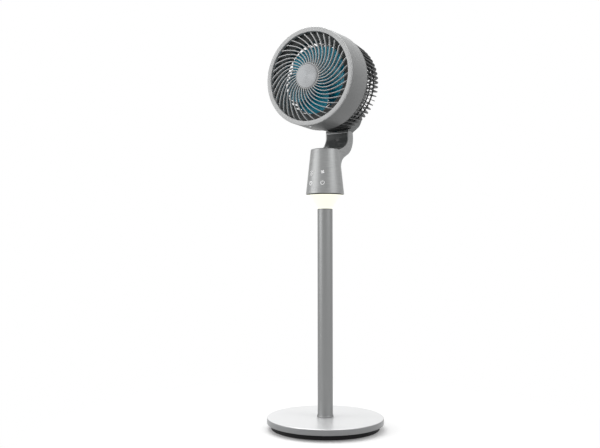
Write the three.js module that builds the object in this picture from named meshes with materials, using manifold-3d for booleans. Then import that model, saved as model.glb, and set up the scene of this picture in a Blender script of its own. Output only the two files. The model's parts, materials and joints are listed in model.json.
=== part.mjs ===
// Pedestal air circulator: round weighted foot, tube pole, ring light, swivelling control
// column with a curved arm, and a tilting round fan head with swirl ribs in front and
// radial fins behind. Millimetres, +Z up, the air leaves along -Y, origin under the foot.

import * as THREE from 'three';
import { mergeVertices } from 'three/addons/utils/BufferGeometryUtils.js';
import Module from 'manifold-3d';

const wasm = await Module();
wasm.setup();

// ---------------------------------------------------------------- driving dimensions

const GAP = 0.3; // seat clearance between two pieces that touch
const RUN = 0.5; // clearance between faces that slide past each other
const TAU = Math.PI * 2;

// facets of a full turn
const FINE = 36;
const MEDIUM = 20;
const COARSE = 12;
const SMALL = 6;
const COLUMN_FACETS = 30;

// foot
const BASE_R = 145;
const BASE_TOP = 30;
const COVER_WALL = 2.5;
const COVER_RIM = 14.5; // height of the cover's side
const COVER_ROUND = 2.5;
const SKIRT_R = 135;
const SKIRT_WALL = 3;
const PAN_FLOOR = 2.5;
const PAD_R = 11;
const PAD_H = 2.7;
const PAD_CIRCLE = 114;
const PAD_COUNT = 5;
const WEIGHT_T = 8;
const WEIGHT_CLEAR = 3.4; // between the weight and the socket
const WEIGHT_HUB_R = 30;
const BOLT_R = 4;
const BOLT_HEAD_R = 6.5;
const BOLT_HEAD_H = 6;
const BOLT_HOLE_R = BOLT_R + GAP;
const BOLT_RECESS = 8;
const BOLT_LENGTH = 44;
const INLET_W = 12;
const INLET_H = 9;
const INLET_DEPTH = 13;
const INLET_SET = 0.6; // how deep the socket's face sits in the skirt

// pole
const POLE_R = 19;
const POLE_WALL = 1.5;
const POLE_LENGTH = 513.7;
const COLLAR_WALL = 1.4;
const COLLAR_H = 4.5;
const PLUG_H = 40;
const CAP_FLANGE = 2.4;
const NECK_R = 12;
const NECK_WALL = 2.5;

// ring light
const LIGHT_H = 33.6;
const LIGHT_FOOT_R = 21;
const LIGHT_RIM_R = 47;
const LIGHT_WALL = 2.2;
const LIGHT_SAG = 2.4; // how far the side of the shade hollows below a straight cone
const LED_RING_R = 37.5;
const LED_RING_HOLE = 22;
const LED_COUNT = 8;
const BOARD_T = 1.6;
const CARRIER_T = 2;

// swivelling control column
const LIGHT_GAP = 2.4; // open joint between light and column
const COLUMN_H = 113;
const COLUMN_FOOT_R = 48;
const COLUMN_TOP_R = 36;
const COLUMN_WALL = 2.6;
const COLUMN_ROUND = 2.4;
const BUSH_WALL = 2.4;
const BUSH_FLANGE = 2.3;
const FLOOR_T = 2.5;
const DECK_T = 2;
const DECK_R = 40;
const BOSS_R = 4;
const BOSS_CIRCLE = 35.5;
const SCREW_R = 1.5;
const SCREW_HEAD_R = 3.2;
const SCREW_HEAD_H = 2.4;
const SCREW_LENGTH = 28;
const SWIVEL_MOTOR_R = 11;
const SWIVEL_MOTOR_H = 19;
const PINION_SHAFT_R = 2.5;
const SWIVEL_MODULE = 1.6;
const SWIVEL_GEAR_TEETH = 24;
const SWIVEL_PINION_TEETH = 9;
const SWIVEL_GEAR_H = 6;
const SWIVEL_MOTOR_ANGLE = Math.PI / 6;
const TOUCH_BOARD_W = 44;
const TOUCH_BOARD_H = 50;
const TOUCH_BOARD_Y = -30;
const BOARD_POST = 6; // width of the posts that hold the board
const BOARD_POST_H = 10;

// arm: a curved channel that rises behind the column
const ARM_HALF = 33; // half its width
const ARM_WALL = 2.5;
const ELBOW_Y = 38;
const ELBOW_RISE = 38; // centre of the outer bend above the column top
const ELBOW_R = 50.5;
const ARM_UNDER_SLOPE = 0.46; // slope of the straight underside, radians
const ARM_FACE_Y = 62.4; // front face of the upright part
const ARM_LID_T = 2;
const PLUG_W = 12;
const PLUG_T = 8;
const PLUG_RISE = 33;
const ARM_ROOT_DROP = 41; // where the arm's underside meets the column, below its top
const ARM_KNEE_Y = 44; // pull of the arm's front curve

// tilt joint
const PIVOT_Y = 75.5;
const PIVOT_RISE = 20;
const END_R = 34; // round end of the arm about the pivot
const TONGUE_HALF = 10.8;
const TONGUE_FRONT = 3;
const TONGUE_BACK = 10;
const CHEEK_T = 4;
const BUSH_COLLAR = 1;
const AXLE_R = 4;
const TILT_BUSH_R = 6;
const BARREL_R = 7.4;
const TILT_MODULE = 1.5;
const TILT_GEAR_TEETH = 12;
const TILT_PINION_TEETH = 10;
const TILT_GEAR_W = 7;
const TILT_MOTOR_R = 10;
const TILT_MOTOR_L = 13;
const TILT_MOTOR_ANGLE = 3.83; // direction from pivot to motor, from +Y towards +Z
const TILT_SLOT_DROP = 12; // how far the rear slot reaches below the pivot

// head
const HEAD_R = 123; // outside of the drum at its rear
const HEAD_CLEAR = 28; // from the tilt pivot up to the drum
const SHROUD_FRONT = -76.7;
const SHROUD_REAR = -7;
const SHROUD_TAPER = 2; // the drum is this much smaller in radius at its front
const SHROUD_WALL = 2.5;
const RING_FACE = 4; // axial thickness of the front ring's outer band
const RING_BAND = 11.3; // width of the front ring's face
const RING_SKIRT = 9;
const DUCT_SET = 12; // mouth of the funnel inside the drum's rear radius
const DUCT_WALL = 2;
const DUCT_FLANGE = 3;
const THROAT_SET = 33.5; // throat of the funnel inside the drum's rear radius
const THROAT_DEPTH = 6; // how far behind the mouth the throat starts
const THROAT_Y = -42; // rear end of the throat
const RIB_COUNT = 36;
const RIB_W = 2;
const RIB_DEPTH = 6;
const RIB_STEPS = 6;
const RIB_SWEEP = 0.848; // turn of a rib from hub to ring
const RIB_SWIRL = 0.2; // how much of that turn sits at mid span
const RIB_PHASE = -0.686;
const RIB_END = 6.2; // outer length over which a rib bends back into the ring
const RIB_DROP = 5; // and how far it bends back
const FACE_BULGE = 5.8; // how far the middle of the front grille stands proud
const GRILLE_HUB_R = 32;
const BADGE_R = 30;
const BADGE_CROWN = 1.6;
const LOCK_SCREW_SET = 5;

// rear grille
const FIN_COUNT = 30;
const FIN_T = 1.8;
const FIN_DEPTH = 8;
const FIN_SET = 1; // fins start this far inside the drum's rear radius
const FIN_SHOULDER_Y = 66;
const FIN_SHOULDER_SET = 6.4; // narrowing of the fins up to their shoulder
const FIN_BEND = 22;
const FIN_BEND_TURN = 1.22;
const FIN_REAR_Y = 104.5;
const RING_1_Y = 36;
const RING_2_Y = 59;
const HOOP_W = 3;
const HOOP_T = 3;
const HUB_RING_R = 50;
const HUB_RING_T = 6.5;

// motor pod and spine
const POD_R = 38;
const POD_WALL = 2.2;
const POD_FLANGE = 2.5;
const POD_BACK = 142;
const DOME_R = 52;
const DOME_ROUND = 10;
const POD_SCREW_CIRCLE = 44;
const POD_SCREW_LENGTH = 30;
const SPINE_WALL = 2.5;
const SPINE_LID_T = 2.5;
const SPINE_CLEAR = 1.7; // space between fins and spine
const SPINE_SLOPE = 0.515; // slope of its underside, radians
const SPINE_BEND = 51.2;
const SPINE_FOOT_Y = 89;
const SPINE_FOOT_DROP = 1; // start of the underside below the arm's top
const BRACKET_T = 12;
const BRACKET_TOP = 58; // reach of the inner bracket above the arm's top

// motor
const CAN_R = 30;
const CAN_LENGTH = 45.5;
const CAN_WALL = 2;
const BEARING_R = 11;
const BEARING_W = 7;
const SHAFT_R = 4;
const STATOR_IN_R = 17.5;
const ROTOR_R = 16.7;
const ROTOR_LENGTH = 28;

// impeller
const BLADE_COUNT = 5;
const TIP_CLEAR = 3.5; // between blade tips and throat
const BLADE_FRONT = -60;
const BLADE_REAR = -18;
const BLADE_T = 2.4;
const BLADE_STEPS = 4;
const BLADE_PHASE = 0.5;
const BLADE_LEAN = 0.9; // turn of the tip against the root
const BLADE_WIDTH = 1.7; // angular width at the root
const BLADE_TAPER = 0.3; // share of that width lost at the tip
const ROTOR_HUB_R = 30;
const ROTOR_HUB_WALL = 2.6;
const ROTOR_BOSS_R = 9;
const NUT_R = 12;
const NUT_H = 8;

// ---------------------------------------------------------------- sizes that follow

const PAN_Z = PAD_H + GAP;
const WEIGHT_Z = PAN_Z + PAN_FLOOR + GAP;
const WEIGHT_R = SKIRT_R - INLET_SET - INLET_DEPTH - WEIGHT_CLEAR;
const POLE_Z = BASE_TOP + GAP;
const POLE_TOP = POLE_Z + POLE_LENGTH;
const LIGHT_Z = POLE_TOP + GAP + CAP_FLANGE + GAP;
const LIGHT_TOP = LIGHT_Z + LIGHT_H;
const COLUMN_Z = LIGHT_TOP + LIGHT_GAP;
const COLUMN_TOP = COLUMN_Z + COLUMN_H;
const FLOOR_Z = COLUMN_Z + 0.6;
const SWIVEL_GEAR_Z = FLOOR_Z + FLOOR_T + 2;
const DECK_BUSH_Z = SWIVEL_GEAR_Z + SWIVEL_GEAR_H + GAP;
const DECK_Z = DECK_BUSH_Z + BUSH_FLANGE + GAP;
const DECK_TOP = DECK_Z + DECK_T;
const ELBOW_Z = COLUMN_TOP + ELBOW_RISE;
const PIVOT_Z = COLUMN_TOP + PIVOT_RISE;
const HEAD_Z = PIVOT_Z + HEAD_R + HEAD_CLEAR;
const ARM_TOP = PIVOT_Z + END_R;
const RING_FRONT = SHROUD_FRONT - GAP - RING_FACE;
const SHROUD_FRONT_R = HEAD_R - SHROUD_TAPER;
const RING_IN_R = SHROUD_FRONT_R - RING_BAND;
const DUCT_R = HEAD_R - DUCT_SET;
const THROAT_R = HEAD_R - THROAT_SET;
const BLADE_TIP_R = THROAT_R - TIP_CLEAR;
const FIN_FRONT_R = HEAD_R - FIN_SET;
const FIN_SHOULDER_R = FIN_FRONT_R - FIN_SHOULDER_SET;
const HUB_RING_Y = FIN_REAR_Y + 0.2 - HUB_RING_T;
const POD_FLANGE_Y = HUB_RING_Y + HUB_RING_T + GAP;
const SPINE_BACKPLATE_Y = POD_FLANGE_Y + POD_FLANGE + GAP;
const NECK_HOLE_R = NECK_R + GAP;
const BUSH_R = NECK_HOLE_R + BUSH_WALL;
const COLUMN_TAPER = (COLUMN_FOOT_R - COLUMN_TOP_R) / COLUMN_H;
const CHEEK_IN = TONGUE_HALF + 2 * GAP + BUSH_COLLAR;
const SHAFT_HOLE = PINION_SHAFT_R + RUN;
const TILT_CENTRES = TILT_MODULE * (TILT_GEAR_TEETH + TILT_PINION_TEETH) / 2;
const SWIVEL_CENTRES = SWIVEL_MODULE * (SWIVEL_GEAR_TEETH + SWIVEL_PINION_TEETH) / 2;

// ---------------------------------------------------------------- geometry helpers

// points on an arc from angle a to angle b, both ends included
function arc(x, y, r, a, b, steps) {
  const points = [];
  for (let i = 0; i <= steps; i += 1) {
    const t = a + (b - a) * i / steps;
    points.push([x + r * Math.cos(t), y + r * Math.sin(t)]);
  }
  return points;
}

// turns a closed mesh so that its faces look outwards
function outward(geometry) {
  const p = geometry.attributes.position;
  const index = geometry.index.array;
  const [a, b, c] = [new THREE.Vector3(), new THREE.Vector3(), new THREE.Vector3()];
  let volume = 0;
  for (let i = 0; i < index.length; i += 3) {
    a.fromBufferAttribute(p, index[i]);
    b.fromBufferAttribute(p, index[i + 1]);
    c.fromBufferAttribute(p, index[i + 2]);
    volume += a.dot(b.cross(c));
  }
  if (volume < 0) {
    for (let i = 0; i < index.length; i += 3) {
      [index[i], index[i + 1]] = [index[i + 1], index[i]];
    }
  }
  return geometry;
}

function solid(geometry) {
  const bare = geometry.clone();
  bare.deleteAttribute('normal');
  bare.deleteAttribute('uv');
  const merged = outward(mergeVertices(bare, 1e-3));
  return new wasm.Manifold(new wasm.Mesh({
    numProp: 3,
    vertProperties: Float32Array.from(merged.attributes.position.array),
    triVerts: Uint32Array.from(merged.index.array),
  }));
}

function geometryOf(manifold) {
  const mesh = manifold.getMesh();
  const geometry = new THREE.BufferGeometry();
  geometry.setAttribute('position', new THREE.BufferAttribute(mesh.vertProperties, 3));
  geometry.setIndex(new THREE.BufferAttribute(mesh.triVerts, 1));
  geometry.computeVertexNormals();
  return geometry;
}

// a profile of [radius, height] turned about Z; it closes on itself unless it meets the axis
function turned(profile, segments = MEDIUM) {
  const points = profile.map(([r, h]) => new THREE.Vector2(r, h));
  if (points[0].x > 0 || points[points.length - 1].x > 0) {
    points.push(points[0].clone());
  }
  if (THREE.ShapeUtils.area(points) < 0) {
    points.reverse();
  }
  return new THREE.LatheGeometry(points, segments).rotateX(Math.PI / 2);
}

// the same about Y, for the head: heights run rearwards
function turnedY(profile, segments = MEDIUM) {
  return turned(profile, segments).rotateX(-Math.PI / 2);
}

const lathe = (profile, segments) => solid(turned(profile, segments));
const latheY = (profile, segments) => solid(turnedY(profile, segments));

// ring of rectangular section about Z or Y
const band = (inner, outer, low, high) => [[inner, low], [outer, low], [outer, high], [inner, high]];

function rod(radius, low, high, segments = COARSE) {
  return new THREE.CylinderGeometry(radius, radius, high - low, segments)
    .rotateX(Math.PI / 2).translate(0, 0, (low + high) / 2);
}

const rodY = (radius, low, high, segments) => rod(radius, low, high, segments).rotateX(-Math.PI / 2);
const rodX = (radius, low, high, segments) => rod(radius, low, high, segments).rotateY(Math.PI / 2);

function box(x0, x1, y0, y1, z0, z1) {
  return new THREE.BoxGeometry(x1 - x0, y1 - y0, z1 - z0)
    .translate((x0 + x1) / 2, (y0 + y1) / 2, (z0 + z1) / 2);
}

const shapeOf = (points) => new THREE.Shape(points.map(([x, y]) => new THREE.Vector2(x, y)));

// a side outline of [y, z] points made into a plate from x = -half to x = half
function plateX(points, half) {
  const geometry = new THREE.ExtrudeGeometry(shapeOf(points), { depth: 2 * half, bevelEnabled: false });
  geometry.translate(0, 0, -half);
  return geometry.applyMatrix4(new THREE.Matrix4().set(
    0, 0, 1, 0,
    1, 0, 0, 0,
    0, 1, 0, 0,
    0, 0, 0, 1,
  ));
}

// spur gear outline: straight-sided teeth on the pitch circle, thinner than the space
function gearOutline(module, teeth, phase) {
  const pitch = module * teeth / 2;
  const rings = [[pitch - 1.2 * module, 0.36], [pitch + 0.85 * module, 0.1]];
  const points = [];
  for (let i = 0; i < teeth; i += 1) {
    const middle = phase + TAU * i / teeth;
    const flank = (r, share, side) => {
      const a = middle + side * share * TAU / teeth;
      return [r * Math.cos(a), r * Math.sin(a)];
    };
    rings.forEach(([r, share]) => points.push(flank(r, share, -1)));
    [...rings].reverse().forEach(([r, share]) => points.push(flank(r, share, 1)));
  }
  return points;
}

function gear(module, teeth, phase, width) {
  return new THREE.ExtrudeGeometry(
    shapeOf(gearOutline(module, teeth, phase)),
    { depth: width, bevelEnabled: false },
  );
}

// where two circles meet, on the side that lies right of the line between their centres
function circlesMeet(x0, y0, r0, x1, y1, r1) {
  const d = Math.hypot(x1 - x0, y1 - y0);
  const along = (d * d + r0 * r0 - r1 * r1) / (2 * d);
  const across = Math.sqrt(r0 * r0 - along * along);
  const [ux, uy] = [(x1 - x0) / d, (y1 - y0) / d];
  return [x0 + along * ux + across * uy, y0 + along * uy - across * ux];
}

const FINISH = {
  silver: { color: 0x9c9d9c, roughness: 0.38, metalness: 0.75 },
  satin: { color: 0x8d8e8d, roughness: 0.45, metalness: 0.55 },
  ring: { color: 0xb9bab9, roughness: 0.4, metalness: 0.5 },
  cover: { color: 0xc9cacb, roughness: 0.32, metalness: 0.6 },
  dark: { color: 0x3b3e3f, roughness: 0.6, metalness: 0.1 },
  black: { color: 0x161617, roughness: 0.7, metalness: 0 },
  teal: { color: 0x0a5c74, roughness: 0.35, metalness: 0 },
  glow: { color: 0xfffbe6, roughness: 0.5, metalness: 0 },
  steel: { color: 0xa9abad, roughness: 0.3, metalness: 0.9 },
  iron: { color: 0x4a4a4b, roughness: 0.8, metalness: 0.5 },
  brass: { color: 0xb08d4a, roughness: 0.4, metalness: 0.9 },
  board: { color: 0x1f5a38, roughness: 0.6, metalness: 0 },
  rubber: { color: 0x1d1d1e, roughness: 0.9, metalness: 0 },
  nylon: { color: 0xdcdcd6, roughness: 0.6, metalness: 0 },
};

const materials = Object.fromEntries(
  Object.entries(FINISH).map(([name, look]) => [name, new THREE.MeshStandardMaterial(look)]),
);

function piece(name, shape, finish, place = [0, 0, 0]) {
  const geometry = shape.isBufferGeometry ? shape : geometryOf(shape);
  const mesh = new THREE.Mesh(geometry, materials[finish].clone());
  mesh.name = name;
  mesh.position.set(...place);
  return mesh;
}

function screw(name, finish = 'steel', length = SCREW_LENGTH) {
  const profile = [
    [0, 0], [SCREW_HEAD_R, 0], [SCREW_HEAD_R, SCREW_HEAD_H],
    [SCREW_R, SCREW_HEAD_H], [SCREW_R, length], [0, length],
  ];
  return piece(name, turned(profile, SMALL), finish);
}

// ---------------------------------------------------------------- foot

function baseCover() {
  const rim = BASE_TOP - COVER_RIM;
  const round = arc(BASE_R - COVER_ROUND, BASE_TOP - COVER_ROUND, COVER_ROUND, Math.PI / 2, 0, 2);
  const profile = [
    [BOLT_HOLE_R, BASE_TOP - COVER_WALL], [BOLT_HOLE_R, BASE_TOP], ...round,
    [BASE_R, rim], [BASE_R - COVER_WALL, rim],
    [BASE_R - COVER_WALL, BASE_TOP - COVER_WALL],
  ];
  return piece('base_cover', turned(profile, FINE), 'cover');
}

function inletCentre() {
  return PAN_Z + PAN_FLOOR + GAP + INLET_H / 2;
}

function baseUnderplate() {
  const top = BASE_TOP - COVER_WALL - GAP;
  const floor = PAN_Z + PAN_FLOOR;
  const pan = lathe([
    [BOLT_HEAD_R + 4, PAN_Z], [SKIRT_R, PAN_Z], [SKIRT_R, top],
    [SKIRT_R - SKIRT_WALL, top], [SKIRT_R - SKIRT_WALL, floor], [BOLT_HEAD_R + 4, floor],
  ], FINE);
  const half = INLET_W / 2 + GAP;
  const reach = INLET_H / 2 + GAP;
  const middle = inletCentre();
  const window = box(-half, half, SKIRT_R - 2 * SKIRT_WALL, SKIRT_R + 1, middle - reach, middle + reach);
  return piece('base_underplate', pan.subtract(solid(window)), 'black');
}

function baseWeight() {
  const top = BASE_TOP - COVER_WALL - GAP;
  const head = BOLT_HEAD_R + 3;
  const profile = [
    [head, WEIGHT_Z], [WEIGHT_R, WEIGHT_Z], [WEIGHT_R, WEIGHT_Z + WEIGHT_T],
    [WEIGHT_HUB_R + 4, WEIGHT_Z + WEIGHT_T], [WEIGHT_HUB_R, top], [BOLT_HOLE_R, top],
    [BOLT_HOLE_R, WEIGHT_Z + BOLT_RECESS], [head, WEIGHT_Z + BOLT_RECESS],
  ];
  return piece('base_weight', turned(profile, MEDIUM), 'iron');
}

function powerInlet() {
  const middle = inletCentre();
  const front = SKIRT_R - INLET_SET;
  const body = solid(box(
    -INLET_W / 2, INLET_W / 2, front - INLET_DEPTH, front, middle - INLET_H / 2, middle + INLET_H / 2,
  ));
  const bore = solid(rodY(3, front - INLET_DEPTH + 2, front + 1, SMALL).translate(0, 0, middle));
  const pin = solid(rodY(1, front - INLET_DEPTH + 1, front - 1, SMALL).translate(0, 0, middle));
  return piece('power_inlet', body.subtract(bore).add(pin), 'black');
}

function poleBolt() {
  const head = WEIGHT_Z + BOLT_RECESS - GAP - BOLT_HEAD_H;
  const socket = solid(new THREE.CylinderGeometry(3.4, 3.4, 6, 6).rotateX(Math.PI / 2));
  const bolt = lathe([
    [0, head], [BOLT_HEAD_R, head], [BOLT_HEAD_R, head + BOLT_HEAD_H], [BOLT_R, head + BOLT_HEAD_H],
    [BOLT_R, head + BOLT_HEAD_H + BOLT_LENGTH], [0, head + BOLT_HEAD_H + BOLT_LENGTH],
  ], COARSE);
  return piece('pole_bolt', bolt.subtract(socket.translate([0, 0, head])), 'steel');
}

function footPads() {
  const profile = [[0, 0], [PAD_R, 0], [PAD_R, PAD_H], [0, PAD_H]];
  return Array.from({ length: PAD_COUNT }, (_, i) => {
    const angle = Math.PI / 2 + Math.PI / PAD_COUNT + TAU * i / PAD_COUNT;
    const place = [PAD_CIRCLE * Math.cos(angle), PAD_CIRCLE * Math.sin(angle), 0];
    return piece(`foot_pad_${i + 1}`, turned(profile, COARSE), 'rubber', place);
  });
}

// ---------------------------------------------------------------- pole

const PLUG_R = POLE_R - POLE_WALL - GAP;

function poleCollar() {
  const inner = POLE_R + GAP;
  const outer = inner + COLLAR_WALL;
  const profile = [
    [inner, POLE_Z], [outer, POLE_Z], [outer - 0.9, POLE_Z + COLLAR_H], [inner, POLE_Z + COLLAR_H],
  ];
  return piece('pole_base_ring', turned(profile, MEDIUM), 'silver');
}

function poleTube() {
  return piece('pole', turned(band(POLE_R - POLE_WALL, POLE_R, POLE_Z, POLE_TOP), MEDIUM), 'silver');
}

function poleFootPlug() {
  const hole = POLE_Z + BOLT_LENGTH - 10;
  const profile = [
    [BOLT_HOLE_R, POLE_Z], [PLUG_R, POLE_Z], [PLUG_R, POLE_Z + PLUG_H], [0, POLE_Z + PLUG_H],
    [0, hole], [BOLT_HOLE_R, hole],
  ];
  return piece('pole_foot_plug', turned(profile, COARSE), 'nylon');
}

function poleTopCap() {
  const low = POLE_TOP - PLUG_H;
  const flange = POLE_TOP + GAP;
  const profile = [
    [NECK_R - NECK_WALL, low], [PLUG_R, low], [PLUG_R, flange], [POLE_R, flange],
    [POLE_R, flange + CAP_FLANGE], [NECK_HOLE_R, flange + CAP_FLANGE],
    [NECK_HOLE_R, low + 4], [NECK_R - NECK_WALL, low + 4],
  ];
  return piece('pole_top_cap', turned(profile, MEDIUM), 'silver');
}

function neckTube() {
  const low = POLE_TOP - PLUG_H + 4 + GAP;
  const high = DECK_TOP + GAP + 6;
  return piece('neck_tube', turned(band(NECK_R - NECK_WALL, NECK_R, low, high), MEDIUM), 'steel');
}

// ---------------------------------------------------------------- ring light

// radius of the light shade's outside at a share t of its height: a slightly hollow cone
const shadeRadius = (t) => LIGHT_FOOT_R + (LIGHT_RIM_R - LIGHT_FOOT_R) * t - LIGHT_SAG * 4 * t * (1 - t);

function lightShade() {
  const shares = [0, 0.5, 1];
  const outside = shares.map((t) => [shadeRadius(t), LIGHT_Z + LIGHT_H * t]);
  const inside = shares.filter((t) => t > 0).reverse()
    .map((t) => [shadeRadius(t) - LIGHT_WALL, LIGHT_Z + LIGHT_H * t]);
  const floor = LIGHT_Z + LIGHT_WALL;
  const profile = [
    [NECK_HOLE_R, LIGHT_Z], ...outside, ...inside,
    [LIGHT_FOOT_R - 0.4, floor], [NECK_HOLE_R, floor],
  ];
  return piece('light_diffuser', turned(profile, COLUMN_FACETS), 'glow');
}

function lightCarrier() {
  const low = LIGHT_TOP - CARRIER_T;
  const share = 1 - CARRIER_T / LIGHT_H;
  const edge = shadeRadius(share) - LIGHT_WALL - GAP;
  return piece('lamp_plate', turned(band(NECK_HOLE_R, edge, low, LIGHT_TOP)), 'steel');
}

function ledRing() {
  const top = LIGHT_TOP - CARRIER_T - GAP;
  const low = top - BOARD_T;
  let ring = lathe(band(LED_RING_HOLE, LED_RING_R, low, top), COARSE);
  for (let i = 0; i < LED_COUNT; i += 1) {
    const lamp = solid(box(-2, 2, -2, 2, low - 1.2, low + 0.4)
      .translate((LED_RING_R + LED_RING_HOLE) / 2, 0, 0).rotateZ(TAU * i / LED_COUNT));
    ring = ring.add(lamp);
  }
  return piece('led_board', ring, 'nylon');
}

// ---------------------------------------------------------------- swivel drive

function swivelGear() {
  const wheel = solid(gear(SWIVEL_MODULE, SWIVEL_GEAR_TEETH, SWIVEL_MOTOR_ANGLE, SWIVEL_GEAR_H));
  const bore = solid(rod(NECK_HOLE_R, -1, SWIVEL_GEAR_H + 1, MEDIUM));
  return piece('swivel_gear', wheel.subtract(bore), 'nylon', [0, 0, SWIVEL_GEAR_Z]);
}

function swivelBush(name, flange, sleeve) {
  const outer = BUSH_R + BUSH_FLANGE;
  const profile = [
    [NECK_HOLE_R, flange], [outer, flange], [outer, flange + BUSH_FLANGE],
    [BUSH_R, flange + BUSH_FLANGE], [BUSH_R, sleeve], [NECK_HOLE_R, sleeve],
  ];
  return piece(name, turned(profile, MEDIUM), 'brass');
}

function neckClip() {
  const low = DECK_TOP + 2 * GAP + 2;
  const ring = lathe(band(NECK_HOLE_R, BUSH_R, low, low + 1.4), MEDIUM);
  const mouth = solid(box(-4, 4, 0, BUSH_R + 2, low - 1, low + 3));
  return piece('neck_clip', ring.subtract(mouth), 'steel');
}

const bossAngles = [0, 1, 2].map((i) => Math.PI / 2 + TAU * i / 3);
const aroundColumn = (angle, r) => [r * Math.cos(angle), r * Math.sin(angle), 0];

function columnFloor() {
  const edge = COLUMN_FOOT_R - COLUMN_WALL - COLUMN_TAPER * (FLOOR_Z + FLOOR_T - COLUMN_Z) - GAP;
  let plate = lathe(band(BUSH_R + GAP, edge, FLOOR_Z, FLOOR_Z + FLOOR_T));
  bossAngles.forEach((angle) => {
    const at = aroundColumn(angle, BOSS_CIRCLE);
    plate = plate.add(solid(rod(BOSS_R + 1, FLOOR_Z, DECK_Z - GAP, SMALL)).translate(at));
  });
  bossAngles.forEach((angle) => {
    const at = aroundColumn(angle, BOSS_CIRCLE);
    const head = solid(rod(SCREW_HEAD_R + GAP, FLOOR_Z - 1, FLOOR_Z + SCREW_HEAD_H + 3, SMALL));
    const shank = solid(rod(SCREW_R + GAP, FLOOR_Z - 1, DECK_Z + 1, SMALL));
    plate = plate.subtract(head.add(shank).translate(at));
  });
  return piece('column_floor', plate, 'dark');
}

function deck() {
  let plate = lathe(band(BUSH_R + GAP, DECK_R, DECK_Z, DECK_TOP));
  [-1, 1].forEach((side) => {
    const x = side * (TOUCH_BOARD_W - BOARD_POST) / 2;
    const half = BOARD_POST / 2;
    const post = box(x - half, x + half, -half, half, DECK_Z + 0.5, DECK_TOP + BOARD_POST_H);
    plate = plate.add(solid(post.translate(0, TOUCH_BOARD_Y, 0)));
  });
  const slit = TOUCH_BOARD_W / 2 + GAP;
  const play = BOARD_T / 2 + GAP;
  const slot = box(-slit, slit, -play, play, DECK_TOP, DECK_TOP + BOARD_POST_H + 1);
  plate = plate.subtract(solid(slot.translate(0, TOUCH_BOARD_Y, 0)));
  bossAngles.forEach((angle) => {
    const hole = solid(rod(SCREW_R + GAP, DECK_Z - 1, DECK_TOP + 1, SMALL));
    plate = plate.subtract(hole.translate(aroundColumn(angle, BOSS_CIRCLE)));
  });
  const shaftHole = solid(rod(SHAFT_HOLE, DECK_Z - 1, DECK_TOP + 1, SMALL));
  plate = plate.subtract(shaftHole.translate(aroundColumn(SWIVEL_MOTOR_ANGLE, SWIVEL_CENTRES)));
  return piece('mechanism_deck', plate, 'nylon');
}

function swivelMotor() {
  const low = DECK_TOP + GAP;
  const can = lathe([
    [0, low], [SWIVEL_MOTOR_R, low], [SWIVEL_MOTOR_R, low + SWIVEL_MOTOR_H - 1],
    [SWIVEL_MOTOR_R - 1, low + SWIVEL_MOTOR_H], [0, low + SWIVEL_MOTOR_H],
  ], COARSE);
  return piece('swivel_motor', can, 'steel', aroundColumn(SWIVEL_MOTOR_ANGLE, SWIVEL_CENTRES));
}

function swivelPinion() {
  // half a tooth off the line of centres, so that a space faces the big gear's tooth
  const phase = SWIVEL_MOTOR_ANGLE + Math.PI + Math.PI / SWIVEL_PINION_TEETH;
  const wheel = solid(gear(SWIVEL_MODULE, SWIVEL_PINION_TEETH, phase, SWIVEL_GEAR_H));
  const shaft = solid(rod(PINION_SHAFT_R, 1, DECK_TOP - SWIVEL_GEAR_Z, SMALL));
  const place = aroundColumn(SWIVEL_MOTOR_ANGLE, SWIVEL_CENTRES);
  return piece('swivel_pinion', wheel.add(shaft), 'brass', [place[0], place[1], SWIVEL_GEAR_Z]);
}

function touchBoard() {
  const half = TOUCH_BOARD_W / 2;
  const low = DECK_TOP + GAP;
  const board = box(
    -half, half, TOUCH_BOARD_Y - BOARD_T / 2, TOUCH_BOARD_Y + BOARD_T / 2, low, low + TOUCH_BOARD_H,
  );
  const chip = box(-7, 7, TOUCH_BOARD_Y, TOUCH_BOARD_Y + BOARD_T / 2 + 1.5, low + 20, low + 32);
  return piece('control_board', solid(board).add(solid(chip)), 'board');
}

// ---------------------------------------------------------------- column and arm

function columnSolid() {
  return lathe([
    [0, COLUMN_Z], [COLUMN_FOOT_R, COLUMN_Z],
    ...arc(COLUMN_TOP_R - COLUMN_ROUND, COLUMN_TOP - COLUMN_ROUND, COLUMN_ROUND, 0.1, Math.PI / 2, 2),
    [0, COLUMN_TOP],
  ], COLUMN_FACETS);
}

function columnHollow() {
  const low = COLUMN_FOOT_R - COLUMN_WALL;
  const high = COLUMN_TOP_R - COLUMN_WALL + COLUMN_TAPER * COLUMN_WALL;
  return lathe([
    [0, COLUMN_Z - 1], [low + COLUMN_TAPER, COLUMN_Z - 1],
    [high, COLUMN_TOP - COLUMN_WALL], [0, COLUMN_TOP - COLUMN_WALL],
  ], COLUMN_FACETS);
}

const cubic = (p0, p1, p2, p3, steps) => {
  const at = (x) => new THREE.Vector2(...x);
  return new THREE.CubicBezierCurve(at(p0), at(p1), at(p2), at(p3))
    .getPoints(steps).map((p) => [p.x, p.y]);
};

// front face of the arm, from the column top to the upright part, moved rearwards by depth
function armFront(depth) {
  const lean = depth * 0.97;
  return [
    [10 - depth * 0.26, COLUMN_TOP - 2 - lean],
    ...cubic(
      [18.7 + depth * 0.3, COLUMN_TOP + 1.6 - lean],
      [ARM_KNEE_Y + depth * 0.55, COLUMN_TOP + 8.4 - lean],
      [ARM_FACE_Y + depth, COLUMN_TOP + 20 - depth * 0.6],
      [ARM_FACE_Y + depth, ELBOW_Z + 2],
      6,
    ),
  ];
}

// the round end about the pivot, from the front face to the outer bend
function armEnd(inset) {
  const r = END_R - inset;
  const bend = ELBOW_R - inset;
  const [y, z] = circlesMeet(PIVOT_Y, PIVOT_Z, r, ELBOW_Y, ELBOW_Z, bend);
  const rear = Math.atan2(z - PIVOT_Z, y - PIVOT_Y);
  return { r, bend, rear, bendEnd: Math.atan2(z - ELBOW_Z, y - ELBOW_Y) };
}

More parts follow.
